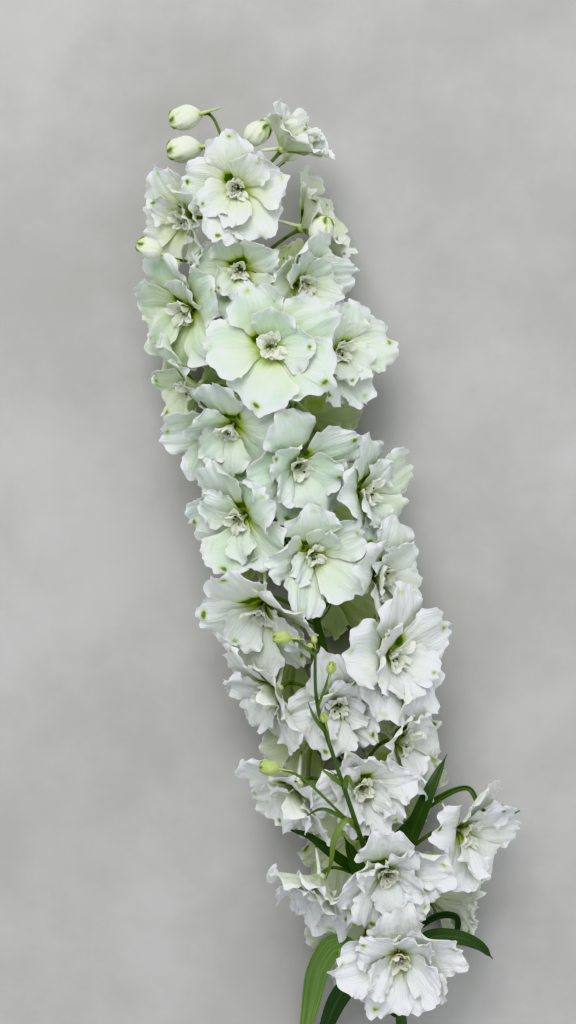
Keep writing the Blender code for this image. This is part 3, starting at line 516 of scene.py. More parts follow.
def floretRows():
    # the front rows, then those places of the spiral that lie far enough from all before; then crowded ones part
    rows = [list(row) for row in florets["front"]]
    frontCount = len(rows)
    for number in range(florets["spiralCount"]):
        share = number / (florets["spiralCount"] - 1)
        along = florets["spiralFrom"] + (florets["spiralTo"] - florets["spiralFrom"]) * share
        turn = (florets["spiralPhase"] + florets["spiralTurn"] * number + 180) % 360 - 180
        widest, less = florets["spiralOpening"]
        row = [along, turn, turn, florets["spiralReach"], florets["spiralNod"], 1 - florets["taper"] * share,
               widest - less * share]
        if apart(roundStem([row]), roundStem(rows))[1].min() > florets["spiralSpacing"]:
            rows.append(row)
    rows = rows[:florets["limit"]]
    places = roundStem(rows)
    shares = np.where(np.arange(len(rows)) < frontCount, florets["pushShareFront"], florets["pushShare"])
    for _ in range(florets["pushSteps"]):
        between, distance = apart(places, places)
        push = np.clip(florets["crowded"] - distance, 0, None) / np.maximum(distance, 1)
        places += shares[:, None] * (push[..., None] * between).sum(axis=1)
        places[:, 0] = np.clip(places[:, 0], *florets["range"])
    for number, (row, (along, around)) in enumerate(zip(rows, places)):
        turn = math.degrees(around / florets["faceRadius"])
        row[2] += turn - row[1]
        row[0], row[1] = along, turn
        if number >= frontCount:
            row[2] -= florets["turnUp"] * math.sin(math.radians(turn))
    return rows


def varied(row, index, attempt):
    # the row with a seeded change that grows from one try to the next, and a roll
    draw = drawn([index, attempt], 7)
    grow = attempt / florets["tries"]
    soon = min(1, 3 * grow)
    most = florets["varied"]
    along, turn, faceTurn, reach, nod, size, opening = row
    return (along + most["along"] * grow * draw[0], turn + most["turn"] * grow * draw[1],
            faceTurn + most["face"] * grow * draw[2], reach + most["reach"] * soon * draw[3],
            nod + most["nod"] * soon * draw[4], size * (1 - most["smaller"] * grow),
            opening - most["closed"] * grow * abs(draw[5]), (most["roll"][0] + most["roll"][1] * grow) * draw[6])


def floretFrame(row):
    # seat of the floret, and its axes: sideways, towards the spike's tip, facing
    along, turn, faceTurn, reach, nod = row[:5]
    centre, direction, up, side = stemAt(along)
    turn, faceTurn, nod = math.radians(turn), math.radians(faceTurn), math.radians(nod)
    seat = centre + reach * aslant(up, side, turn)
    facing = aslant(aslant(up, side, faceTurn), direction, -nod)
    tipward = unit(direction - direction.dot(facing) * facing)
    return seat, np.stack([np.cross(tipward, facing), tipward, facing])


def rolled(axes, degrees):
    # the floret's axes turned about its facing
    roll = math.radians(degrees)
    side, tipward, facing = axes
    return np.stack([aslant(side, tipward, -roll), aslant(tipward, side, roll), facing])


sepal = {
    "count": 5, "length": 30, "halfWidth": 12.6, "widest": 0.56, "start": 46, "twist": 0.17, "root": (0.9, 1.1),
    "lengthVaries": 0.1, "widthVaries": 0.1, "swings": 3, "leans": 14, "cups": (1.4, 2.2), "bends": 3,
    "rows": 27, "columns": 21, "thickness": 0.28,
    "thinner": 0.55,          # share of its thickness that it loses at the rim
    "claw": 0.07,             # share of its width that a sepal keeps at its root
    "wave": 2.0, "pleats": 0.45, "ruffle": 1.35, "channel": 0.8, "curl": 2.6,     # heights of its folds in mm
    "tip": 2.4,               # how far its tip bends forward or back, mm
    "notch": 0.06,            # how far its outline goes in and out, as a share
    "limp": 0.45,             # share by which the oldest florets are more folded and frayed
    "droop": 3.0, "limpDroop": 5.0,      # mm that the tips hang towards the cut end, and what age adds
    "fray": 0.022,            # small nicks of the outline, as a share
    "broader": 1.16, "longer": 1.08,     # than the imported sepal, whose rim is cut straighter
    "nib": 0.035,             # share of its length that its point stands out
    "oldCup": 1.2,            # mm that age adds to its cup
    # share of the way along at which the dark crescent, a painted shadow over the spur's mouth, and the olive spot lie,
    # and their sizes
    "crescentAt": 0.20, "crescentWidth": 0.085, "spotAt": 0.885, "spotSize": (0.19, 0.055),
    # the dark crescent is painted shadow where the spur opens
    "crescent": {0: 0, 1: -1, 4: 1},     # sepals under the dark crescent, and the side of each that it covers
}
inner = {    # the second whorl, of two to four smaller petals that stand inside the sepals
    "most": 4, "length": 0.76 * sepal["length"], "halfWidth": 0.70 * sepal["halfWidth"], "root": (0.5, 2.2),
    "start": 34, "lower": 20,
    "lengthVaries": 0.12, "widthVaries": 0.15, "leans": 12, "swings": 6, "cups": (1.2, 1.6), "bends": 2.5,
    "rows": 22, "columns": 15,
    "seed": 10,               # its petals' draws are counted from here, the sepals' from 0
}
beard = {"hairs": 9, "length": 2.5, "radius": 0.10}
bee = {
    "length": 11, "halfWidth": 4.4, "start": 20, "angles": (0, 180), "ends": (16, 66), "root": (0.7, 4.2),
    "rows": 12, "columns": 9, "thickness": 0.26,
    "sides": (-1, 0.1, 1), "lengths": (1.0, 0.8, 1.0),    # three petals stand round each of the two angles
    "spread": 33,             # degrees between them
    "lengthVaries": 0.1, "widthVaries": 0.1, "leans": 8, "cups": (0.0, 0.0), "bends": 0.5,
    "narrow": 0.7, "crumple": 0.75, "curl": 1.5,
    "upper": {"longer": 1.22, "narrow": 0.8, "crumple": 0.6, "opener": 0.35},     # what the upper three have instead
}
cup = {
    # its profile from the seat up the outside, over the lip and down inside, and how green each ring is; the higher
    # values inside the bowl are partly painted shade
    "heights": (0.0, 0.1, 0.9, 1.9, 2.6, 2.8, 2.6, 1.9, 1.2, 0.9),
    "widths": (1.5, 1.9, 2.25, 2.6, 2.85, 2.7, 2.45, 2.0, 1.2, 0.6),
    "throats": (0.35, 0.35, 0.3, 0.2, 0.3, 0.5, 0.6, 0.7, 0.7, 0.7),
    "sides": 16,
    "stamenTop": 9.5, "stamenSpread": 1.5, "stamens": 12, "filament": (0.22, 0.13), "anther": 0.52,
    "spurLength": 15, "spurRadius": 1.25, "spurTip": 0.5, "spurSides": 10,
}


def sepalSurface(a, v, length, halfWidth, start, end, lengthwiseCup, bend, twist, ripple=0.0, claw=0.0):
    # a runs from the root to the tip and v across. Up to its widest the blade widens as a^1.2; beyond it the square
    # of a and v is mapped to a half disc. The centre line is an arc from the start slant to the end slant, and the
    # blade is lifted off it by cup * v^2, by twist * across and by the ripple.
    outer = np.clip(2 * a - 1, 0, 1)
    near = np.clip(2 * a, 0, 1)
    across = v * halfWidth * (near ** 1.2 + claw * (1 - near)) * np.sqrt(1 - outer ** 2 / 2)
    out = sepal["widest"] * near + (1 - sepal["widest"]) * outer * np.sqrt(1 - v ** 2 / 2)
    slant = start + (end - start) * out
    radius = length * (math.cos(start) - np.cos(slant)) / (end - start)
    forward = length * (np.sin(slant) - math.sin(start)) / (end - start)
    lift = lengthwiseCup * v ** 2 * near ** 2 + twist * across + ripple
    return np.stack([across + bend * out ** 2, radius - lift * np.cos(slant), forward + lift * np.sin(slant)], axis=-1)


def whorlShape(whorl, draw, size, end, twist=0.0):
    # the shape of one blade of a whorl, with its own length, width, lean, cup and bend
    stretch, widen, lean, cupping, bend = draw
    return dict(length=whorl["length"] * size * (1 + whorl["lengthVaries"] * stretch),
                halfWidth=whorl["halfWidth"] * size * (1 + whorl["widthVaries"] * widen),
                start=math.radians(whorl["start"]), end=math.radians(end + whorl["leans"] * lean),
                lengthwiseCup=whorl["cups"][0] + whorl["cups"][1] * cupping, bend=whorl["bends"] * bend, twist=twist)


def blade(number, draw, size, opening, odd):
    # angle, root and shape of the floret's sepals (0 to 4) and of the two bee petals that stand for all six (5, 6)
    if number < sepal["count"]:
        return (math.radians(360 / sepal["count"] * number + sepal["swings"] * draw[2]), sepal["root"],
                whorlShape(sepal, draw, size, opening, sepal["twist"] if odd else -sepal["twist"]))
    which = number - sepal["count"]
    return math.radians(bee["angles"][which]), bee["root"], whorlShape(bee, draw, size, bee["ends"][which])


def floretBlades(index, size, opening):
    # the seven blades of a floret as the CAD has them
    draws = drawn([900, index], (7, 5))
    return [blade(number, draw, size, opening, index % 2) for number, draw in enumerate(draws)]


def inPlace(local, angle, root, seat, axes):
    # a blade's own points moved out to its root, turned by its angle round the floret's axis, and set in place
    out, high = local[..., 1] + root[0], local[..., 2] + root[1]
    turned = np.stack([local[..., 0] * math.cos(angle) + out * math.sin(angle),
                       out * math.cos(angle) - local[..., 0] * math.sin(angle), high], axis=-1)
    return press(seat + turned @ axes)


def spurLine(seat, axes, size, count):
    # back from the cup by 0.86 of its length, and towards the tip by 0.42 s + 0.26 s^2
    s = np.linspace(0, 1, count)[:, None]
    back = 1.6 - cup["spurLength"] * size * 0.86 * s
    up = 1.4 + cup["spurLength"] * size * (0.42 * s + 0.26 * s ** 2)
    return press(seat + up * axes[1] + back * axes[2])


def coarseBox(row, index):
    # the box of a floret as the CAD has it, from few points
    size, opening, roll = row[5:]
    seat, axes = floretFrame(row)
    axes = rolled(axes, roll)
    points = [spurLine(seat, axes, size, 3), seat + axes[2] * [[0], [cup["stamenTop"]]]]
    for number, (angle, root, shape) in enumerate(floretBlades(index, size, opening)):
        count = 3 if number < sepal["count"] else 2
        a, v = shareGrid(count, count)
        points.append(inPlace(sepalSurface(a, v, **shape), angle, root, seat, axes).reshape(-1, 3))
    points = np.vstack(points) + spike["origin"]
    return np.concatenate([points.min(axis=0), points.max(axis=0)])


def placedFlorets():
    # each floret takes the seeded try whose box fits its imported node
    placed, worst = [], 0
    for index, row in enumerate(floretRows()):
        low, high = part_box(f"floret_{index + 1:02d}")
        wanted = np.array([*low, *high]) * 1000
        best, bestMiss = None, 1e9
        for attempt in range(florets["tries"]):
            tried = varied(row, index, attempt)
            miss = np.abs(coarseBox(tried, index) - wanted).max()
            if miss < bestMiss:
                best, bestMiss = tried, miss
            if miss < florets["closeEnough"]:
                break
        placed.append(best)
        worst = max(worst, bestMiss)
    print("florets placed", len(placed), "largest miss of a box, mm", round(float(worst), 2))
    return placed


# mm by which a sepal's tip is lifted, where it would cross a neighbour's: (floret, sepal) from 0
settled = {(13, 1): -2.2, (24, 4): -4.0, (7, 2): 1.0, (19, 4): -4.2, (20, 1): 1.5, (5, 3): -3.5, (25, 1): 1.0,
           (25, 2): -2.5, (24, 1): -1.5, (11, 2): -3.0, (26, 4): -2.5, (0, 2): -1.5, (6, 3): -2.5}
# sepals that hang further over the open places of the stem, as a share of their length
stretched = {(23, 2): 1.15, (23, 3): 1.15, (24, 0): 1.12, (6, 4): 1.10}


def bladePlaces(a, v):
    # shares of the way over its outer and its inner half, nearness of the rim, and the turn round it
    outer = np.clip(2 * a - 1, 0, 1)
    return outer, np.clip(2 * a, 0, 1), 1 - (1 - v ** 2) * (1 - outer ** 2), np.arctan2(v, 2 * a - 0.9)


def fineSepal(number, index, angle, root, shape, seat, axes, tone, size=(sepal["rows"], sepal["columns"])):
    # The CAD's sepal with its folds. Lengthwise wave, pleats that follow v, a ruffle that runs round the rim and
    # grows with the fourth power of the distance to it, a channel along the middle, one curled edge and a bent tip.
    draw = drawn([5000 + index, number], 16)
    a, v = shareGrid(*size)
    outer, near, rimness, rimTurn = bladePlaces(a, v)
    wave = sepal["wave"] * np.sin(math.pi * (1.5 * v + 0.9 * a + draw[0])) * a ** 1.6 * (0.6 + 0.4 * draw[1])
    pleats = sepal["pleats"] * np.sin(2 * math.pi * (2.4 + 0.5 * draw[2]) * v + 3 * draw[3]
                                      + 1.2 * np.sin(3 * a + 3 * draw[4])) * a ** 1.3
    ruffle = (sepal["ruffle"] * (np.sin((7 + 2 * draw[5]) * rimTurn + 3 * draw[6])
                                 + 0.5 * np.sin((15 + 3 * draw[7]) * rimTurn + 3 * draw[8]))
              * rimness ** 4 * near ** 1.5)
    channel = -sepal["channel"] * np.exp(-(v / 0.16) ** 2) * np.sin(math.pi * np.clip(a * 1.1, 0, 1))
    curl = sepal["curl"] * draw[9] * np.abs(v) ** 3 * (v * np.sign(draw[10]) > 0) * a
    tip = sepal["tip"] * draw[14] * outer ** 2
    age = max(tone[2], 0)
    limp = 1 + sepal["limp"] * age
    ripple = (wave + (pleats + ruffle) * limp + curl + tip) * near + channel + settled.get((index, number), 0) * a
    edge = rimness ** 2 * sepal["notch"] * limp * (np.sin((5 + draw[11]) * rimTurn + 3 * draw[12])
                                                   + 0.6 * np.sin((11 + draw[11]) * rimTurn + 3 * draw[13]))
    nicks = np.sin((23 + 3 * draw[15]) * rimTurn + 2 * np.sin(5 * rimTurn + 3 * draw[0]))
    edge += rimness ** 6 * sepal["fray"] * limp * nicks
    nib = sepal["nib"] * np.exp(-(v / 0.12) ** 2) * outer ** 4
    shape = dict(shape, halfWidth=shape["halfWidth"] * sepal["broader"] * (1 + edge),
                 length=(shape["length"] * sepal["longer"] * stretched.get((index, number), 1)
                         * (1 + 0.6 * edge * outer + nib)),
                 bend=shape["bend"] + (sepal["droop"] + sepal["limpDroop"] * age) * math.sin(angle),
                 lengthwiseCup=shape["lengthwiseCup"] + sepal["oldCup"] * age)
    points = inPlace(sepalSurface(a, v, **shape, ripple=ripple, claw=sepal["claw"]), angle, root, seat, axes)
    # a green throat at the root, whose darkest part is painted shade
    throat = 0.46 * (1 - ease(a, 0.05, 0.46)) + 0.4 * (1 - ease(a, 0.0, 0.17))
    # the crescent paints the shadow of the spur's mouth into the throat mark
    if number in sepal["crescent"]:      # where the spur opens, over the upper sepal and half of each neighbour
        side = sepal["crescent"][number]
        reach = 1 if side == 0 else ease(side * v, -0.3, 0.7)
        throat = np.maximum(throat, reach * np.exp(-((a - sepal["crescentAt"]) / sepal["crescentWidth"]) ** 2))
    darkness = np.clip(0.62 + 0.6 * draw[3], 0, 1)
    wide, long = sepal["spotSize"]
    spot = darkness * np.exp(-((v + 0.15 * draw[2]) / wide) ** 2 - ((a - sepal["spotAt"]) / long) ** 2)
    tone = (tone[0], tone[1] + 0.173 * number, tone[2])      # so that each sepal reads its own part of the noises
    marks = marked(a, (v, a, rimness), (throat, spot, 0.0), tone)
    return sheetPart(press(points), sepal["thickness"] * (1 - sepal["thinner"] * rimness ** 3), marks)


def fineBee(which, number, index, root, shape, seat, axes, tone):
    # one crumpled bee petal: two lobes at its end that curl over, rolled edges, and folds that grow with a
    side = bee["sides"][number]
    own = bee["upper"] if which == 0 else {"longer": 1, "narrow": bee["narrow"], "crumple": 1, "opener": 0}
    draw = drawn([7000 + index, which * 3 + number], 9)
    a, v = shareGrid(bee["rows"], bee["columns"])
    outer, _, rimness, rimTurn = bladePlaces(a, v)
    folds = (np.sin(2 * math.pi * (0.9 + 0.2 * draw[0]) * v + 3 * draw[1] + 3 * a)
             + 0.8 * rimness ** 2 * np.sin(8 * rimTurn + 3 * draw[2]) + 0.5 * np.sin(9 * a + 3 * draw[3]) * v)
    ripple = bee["crumple"] * own["crumple"] * a * folds - bee["curl"] * (0.3 + draw[8]) * outer ** 2
    split = 1 - (0.26 + 0.1 * draw[4]) * np.exp(-(v / 0.26) ** 2) * outer
    length = shape["length"] * bee["lengths"][number] * (0.92 + 0.12 * draw[5]) * split * own["longer"]
    shape = dict(shape, length=length, halfWidth=shape["halfWidth"] * own["narrow"],
                 lengthwiseCup=1.3 + 0.9 * draw[6], bend=1.2 * side,
                 end=shape["end"] + 0.3 * draw[7] + own["opener"])
    angle = math.radians(bee["angles"][which] + side * bee["spread"] * (1 + 0.2 * draw[3]))
    points = inPlace(sepalSurface(a, v, **shape, ripple=ripple, claw=0.25), angle, root, seat, axes)
    # a green base, whose darkest part is painted shade
    throat = 0.6 * (1 - ease(a, 0.0, 0.24)) + 0.2 * (1 - ease(a, 0.2, 0.75))
    marks = marked(a, (v, a, rimness), (throat, 0.0, 1.0 - 0.2 * rimness * a), tone)
    return sheetPart(points, bee["thickness"], marks)


def beardParts(petal, index, which, seat, axes, tone):
    # short hairs that stand on the front of a lower bee petal and lean towards the floret's middle
    draws = drawn([7500 + index, which], (beard["hairs"], 5), 0)
    count = bee["rows"] * bee["columns"]
    parts = []
    for alongDraw, acrossDraw, tallDraw, leanDraw, turnDraw in draws:
        spot = int(3 + 6 * alongDraw) * bee["columns"] + int(2 + (bee["columns"] - 4) * acrossDraw)
        root = petal["points"][count + spot]
        inward = seat - root
        inward = unit(inward - inward.dot(axes[2]) * axes[2])
        way = unit(axes[2] + inward * (0.2 + 0.7 * leanDraw) + axes[0] * (turnDraw - 0.5))
        s = np.array([[-0.08], [0.5], [1.0]])
        line = root + (way * s + inward * 0.3 * s ** 2) * beard["length"] * (0.6 + 0.4 * tallDraw)
        parts.append(tubePart(line, beard["radius"] * np.array([1.0, 0.8, 0.3]), 3, tint=(0, 0, 1.0), tone=tone))
    return parts


def innerWhorl(index, size, opening, seat, axes, tone):
    # up to four smaller petals that stand between the sepals, steeper than they do
    draws = drawn([5500, index], (5, 6))
    step = 360 / sepal["count"]
    parts = []
    for number in np.argsort(draws[:, 5])[:inner["most"] - index % 3]:
        shape = whorlShape(inner, draws[number, :5], size, opening - inner["lower"])
        angle = math.radians(step * number + step / 2 + inner["swings"] * draws[number, 2])
        parts.append(fineSepal(inner["seed"] + number, index, angle, inner["root"], shape, seat, axes, tone,
                               (inner["rows"], inner["columns"])))
    return parts


def stamenParts(index, seat, axes, tone):
    # filaments that lean out of the cup on small arcs, each with an oval anther
    draws = drawn([8000, index], (cup["stamens"], 4))
    s = np.linspace(0, 1, 5)[:, None]
    anther = cup["anther"] * np.sin(np.linspace(0.25, math.pi - 0.25, 6))
    parts = []
    for number, (turnDraw, tallDraw, leanDraw, darkDraw) in enumerate(draws):
        outward = aslant(axes[0], axes[1], 2 * math.pi * (number + 0.3 * turnDraw) / cup["stamens"])
        tall = cup["stamenTop"] * (0.84 + 0.2 * tallDraw)
        spread = cup["stamenSpread"] * (0.7 + 0.5 * leanDraw)
        line = seat + axes[2] * (0.8 + (tall - 0.8) * s) + outward * (0.5 + spread * s ** 2 * 1.6)
        parts.append(tubePart(line, np.linspace(*cup["filament"], 5), 5, tint=(0.12, 0, 0.9), tone=tone))
        end = line[-1] + unit(line[-1] - line[-2]) * np.linspace(-0.3, 1.3, 6)[:, None]
        dark = 0.95 if darkDraw > 0.3 else 0.12
        parts.append(tubePart(end, anther, 6, tint=(dark, 0, 0.9), tone=tone))
    return parts


def cupPart(seat, axes, tone):
    # an open bowl in profile: up the outside from the seat, over the lip and down inside to a pole
    heights, widths = (np.array(cup[name])[:, None, None] for name in ("heights", "widths"))
    turn = np.linspace(0, 2 * math.pi, cup["sides"], endpoint=False)[None, :, None]
    rings = seat + heights * axes[2] + widths * (np.cos(turn) * axes[0] + np.sin(turn) * axes[1])
    poles = np.array([seat, seat + cup["heights"][-1] * axes[2]])
    throat = perRing(cup["throats"], cup["sides"], [cup["throats"][0], cup["throats"][-1]])
    return ringPart(press(rings), press(poles), marked(throat, (0.0, 0.2, 0.0), (throat, 0.0, 0.0), tone))


def spurPart(seat, axes, size, tone):
    # the spur narrows to a rounded olive tip, over which it bends a little more towards the spike's tip
    s = np.linspace(0, 1, 16)
    line = spurLine(seat, axes, size, 16)
    line += axes[1] * (1.1 * np.sin(math.pi * s) * s)[:, None]
    radii = ((cup["spurRadius"] * (1 - s) + cup["spurTip"] * s) * (1 + 0.06 * np.sin(22 * s))
             * np.sqrt(np.clip((1.02 - s) / 0.08, 0, 1)))
    along, spot = (perRing(values, cup["spurSides"], [0, 1]) for values in (s, ease(s, 0.75, 1.0)))
    marks = marked(along, (0.0, along, 0.0), (0.12, spot, 0.0), tone)
    return tubePart(press(line), radii, cup["spurSides"], marks=marks)


def floretTone(index, row, seat):
    # how mint the floret is, a chance of its own, and its season: above 0 for old ones, below 0 for young ones
    chance = drawn([6000, index], 3, 0)
    lowest, highest = florets["range"]
    x, y = seat[:2]
    mint = ease(y, -80, 20) * (1 - 0.8 * ease(y, 100, 150)) * (1 - 0.45 * ease(x, -15, 45))
    # spiral florets, which lie behind the front ones, get 0.25 more youth, which adds painted yellow-green light of the
    # depths to their petals
    young = 0.2 + 0.7 * ease(y, 30, 150) + (0.25 if index >= len(florets["front"]) else 0)
    age = np.clip(1.1 - 3.0 * ((row[0] - lowest) / (highest - lowest)), 0, 1)
    return (float(np.clip(0.10 + 0.95 * mint + 0.3 * (chance[0] - 0.5), 0, 1)), chance[1],
            float(age if age > 0 else -np.clip(young + 0.4 * (chance[2] - 0.5), 0, 1)))


def makeFloret(index, row, finish):
    # cup, sepals, both tufts of the bee, the beard of the lower one, inner whorl, stamens and spur
    size, opening, roll = row[5:]
    seat, axes = floretFrame(row)
    axes = rolled(axes, roll)
    tone = floretTone(index, row, seat)
    parts = [cupPart(seat, axes, tone)]
    for number, (angle, root, shape) in enumerate(floretBlades(index, size, opening)):
        if number < sepal["count"]:
            parts.append(fineSepal(number, index, angle, root, shape, seat, axes, tone))
            continue
        which = number - sepal["count"]
        tuft = [fineBee(which, place, index, root, shape, seat, axes, tone) for place in range(len(bee["sides"]))]
        parts += tuft
        if which == 1:
            for place, petal in enumerate(tuft):
                parts += beardParts(petal, index, place, seat, axes, tone)
    parts += innerWhorl(index, size, opening, seat, axes, tone)
    parts += stamenParts(index, seat, axes, tone)
    parts.append(spurPart(seat, axes, size, tone))
    makePiece(f"floret{index + 1:02d}", parts, finish, (f"floret_{index + 1:02d}",))


def stalkLine(root, rising, seat, facing, count):
    # a Bezier curve that leaves its root along rising and comes to the seat from behind it
    share = np.linspace(0, 1, count)[:, None]
    reach = np.linalg.norm(seat - root)
    handle, last = root + rising * reach * 0.4, seat - facing * reach * 0.3
    return ((1 - share) ** 3 * root + 3 * share * (1 - share) ** 2 * handle
            + 3 * share ** 2 * (1 - share) * last + share ** 3 * seat)


buds = {
    "places": (((-42.5, 201.5, 37), (-1.0, -0.22, 0.05), 18, 562), ((-23, 186, 40), (0.72, 0.42, 0.34), 17, 548),
               ((-42, 183, 46), (-1.0, -0.12, 0.10), 19, 545), ((13, 132, 52), (0.36, 0.80, 0.34), 17, 488),
               ((-62, 128, 54), (-0.82, 0.36, 0.35), 15, 492), ((-2, 178, 34), (0.62, 0.70, -0.12), 13, 538)),
    "stalkRadius": 0.75,
    "fullness": 0.35,         # half width as a share of the length
    "rings": 40, "sides": 50,
    "small": 12,              # length in mm under which a bud has half as many faces each way
    "seams": 0.12,            # step from each folded sepal down to the next, as a share of the radius
    "knobs": 0.24,            # how far the five sepal tips stand out round the blunt end
}


def budAxes(direction):
    # sideways, upward and forward unit vectors of a bud
    facing = unit(np.array(direction, float))
    side = unit(np.cross([0, 0, 1], facing))
    return np.stack([side, np.cross(facing, side), facing])


def budParts(seat, direction, length, youth):
    # An egg of radius half * sin(pi s^1.1)^(0.8 - 0.55 s), blunt at its tip. Round it lie five overlapping sepals: the
    # radius rises over each fifth and drops at the seam, and near the tip each fifth swells to a knob and the seams
    # deepen. The thin spur leaves the back of the bud beside the stalk.
    axes, seat = budAxes(direction), np.array(seat, float)
    half = buds["fullness"] * length
    part = 2 if length < buds["small"] else 1
    s = np.linspace(0, 1, buds["rings"] // part)
    s = 0.5 - 0.5 * np.cos(math.pi * (0.05 + 0.945 * s))
    radius = half * np.sin(math.pi * s ** 1.1) ** (0.8 - 0.55 * s)
    turn = np.linspace(0, 1, buds["sides"] // part, endpoint=False)
    fifth = (turn[None] * 5 + 0.9 * s[:, None] ** 2) % 1
    seam = np.exp(-(np.minimum(fifth, 1 - fifth) / 0.10) ** 2)
    knob = np.exp(-((s[:, None] - 0.92) / 0.07) ** 2)
    swell = knob * (np.exp(-((fifth - 0.5) / 0.24) ** 2) - 0.45)
    fold = np.sin(math.pi * s)[:, None] ** 0.5
    relief = 1 + buds["seams"] * (fifth ** 2 - 0.4) * fold - 0.25 * buds["seams"] * seam + buds["knobs"] * swell
    line = seat + axes[2] * length * s[:, None]
    middle = np.exp(-((fifth - 0.5) / 0.20) ** 2)
    uneven = 0.5 + 0.5 * np.sin(2.4 * np.floor(turn * 5) + length)
    olive = np.maximum(ease(s, 0.78, 0.93)[:, None] * (0.2 + 1.0 * middle),
                       0.5 * ease(s, 0.40, 0.82)[:, None] * middle * uneven)
    olive = np.maximum(olive, 0.85 * (1 - ease(s, 0.0, 0.12))[:, None])
    angle = 2 * math.pi * np.tile(turn, len(s))
    cosine, sine, olive, seam = (np.append(values, ends) for values, ends in (
        (np.cos(angle), [0, 0]), (np.sin(angle), [0, 0]), (olive, [1, 0.7]), (seam, [0, 0])))
    along = perRing(s, len(turn), [0, 1])
    marks = marked(along, (cosine, along, sine), (olive, seam, youth))
    parts = [tubePart(line, radius[:, None] * relief, len(turn), marks=marks)]
    t = np.linspace(0, 1, 14)
    start = seat + (axes[2] * 0.16 + axes[1] * 0.14) * length
    spur = start - axes[2] * 0.66 * length * t[:, None] + axes[1] * (0.12 + 0.16 * t[:, None]) * length * t[:, None]
    parts.append(tubePart(spur, (0.058 - 0.036 * t) * length * np.sqrt(np.clip((1.03 - t) / 0.1, 0, 1)), 10,
                          tint=(0.25, 0, 0.5 + 0.5 * youth)))
    return parts


def swollen(s, atRoot, rootLength, atSeat, seatLength):
    # 1 + a swelling at each end of a stalk, which falls off as e^(-distance / length)
    return 1 + atRoot * np.exp(-s / rootLength) + atSeat * np.exp(-(1 - s) / seatLength)


def stemBody():
    # the stem with shallow ribs, and the hollow of its pith at the cut end
    line = smoothRoute(stem["route"], stem["rings"])
    share = np.linspace(0, 1, stem["rings"])[:, None]
    turn = np.linspace(0, 2 * math.pi, stem["sides"], endpoint=False)[None]
    radii = stemRadius(share) * (1 + stem["ridges"] * np.cos(5 * turn + 1.5 * np.sin(9 * share)))
    inward = unit(line[1] - line[0]) * stem["hollow"]
    line = np.vstack([line[0] + inward, line[0] + inward * 0.3, line[0], line])
    radii = np.vstack([radii[:1] * narrower for narrower in stem["hollowRadii"]] + [radii])
    along = perRing(np.linspace(0, 1, len(line)) * 40, stem["sides"], [0, 40])
    angle = np.append(np.tile(turn[0], len(line)), [0, 0])
    cut = perRing(np.arange(len(line)) < len(stem["hollowRadii"]), stem["sides"], [0.6, 0])
    marks = marked(along, (np.cos(angle), along, np.sin(angle)), (0.12, cut, 0.0))
    return tubePart(line, radii, stem["sides"], marks=marks)


def pedicelParts(row):
    # the stalk of a floret, the bract under it and two small bracteoles on it
    root = stemAt(row[0] - stem["pedicelRise"])[0]
    seat, axes = floretFrame(row)
    stalk = stalkLine(root, unit(seat - root), seat, axes[2], 22)
    s = np.linspace(0, 1, 22)
    young = 0.25 + 0.45 * ease(s, 0.3, 1.0).mean()
    centre, direction, up, side = stemAt(row[0] - stem["pedicelRise"] - stem["bractBelow"])
    outward = aslant(up, side, math.radians(row[1]))
    longer = 1 + stem["bractsLow"] * np.clip(1 - (row[0] - florets["range"][0]) / 120, 0, 1)
    away = unit(np.cross(stalk[15] - stalk[14], direction))
    return [
        tubePart(stalk, stem["pedicelRadius"] * swollen(s, 0.8, 0.06, 0.9, 0.05), 10, tint=(young, 0, 0)),
        smallBract(centre + outward * 1.2, unit(direction + 0.5 * outward), outward, stem["bractLength"] * longer, 1.0),
        *(smallBract(stalk[place], unit(stalk[place + 1] - stalk[place]), sign * away, 4.2, 0.5)
          for sign, place in stem["bracteoles"]),
    ]


def budStalks():
    # the stalk of each bud, with one small bract
    s = np.linspace(0, 1, 24)
    parts = []
    for seat, direction, _, rootAlong in buds["places"]:
        root, alongStem = stemAt(rootAlong)[:2]
        rising = unit(unit(np.array(seat, float) - root) + alongStem)
        stalk = stalkLine(root, rising, np.array(seat, float), unit(np.array(direction)), 24)
        parts += [tubePart(stalk, buds["stalkRadius"] * swollen(s, 0.5, 0.08, 0.5, 0.06), 10, tint=(0.45, 0, 0)),
                  smallBract(stalk[17], unit(stalk[18] - stalk[17]), np.array([0, 0, 1.0]), 4.5, 0.6)]
    return parts


def shootStalks(shoot):
    # the stalk of each bud on the shoot with a bract at its foot, then the shoot's narrow leaves
    last = stem["shootRings"] - 1
    parts = []
    for seat, direction, _, share in stem["shootBuds"]:
        place = round(share * last)
        root, facing = shoot[place], unit(np.array(direction))
        inside = np.array(seat, float) + 2 * facing
        stalk = stalkLine(root, unit(inside - root), inside, facing, 16)
        parts += [tubePart(stalk, np.full(16, stem["shootStalk"]), 8, tint=(0.35, 0, 0)),
                  smallBract(root, unit(root - shoot[place - 1]), facing, 5.0, 0.7)]
    return parts + [thinLeaf(smoothRoute([shoot[round(share * last)], *route], 40), halfWidth, young)
                    for share, route, halfWidth, young in stem["shootBracts"]]


def stemParts(rows):
    # the stem, its shoot, and every stalk with its bracts
    shoot = smoothRoute(stem["shootRoute"], stem["shootRings"])
    parts = [stemBody(), tubePart(shoot, np.linspace(*stem["shootRadii"], stem["shootRings"]), 10, tint=(0.1, 0, 0))]
    for row in rows:
        parts += pedicelParts(row)
    return parts + budStalks() + shootStalks(shoot)


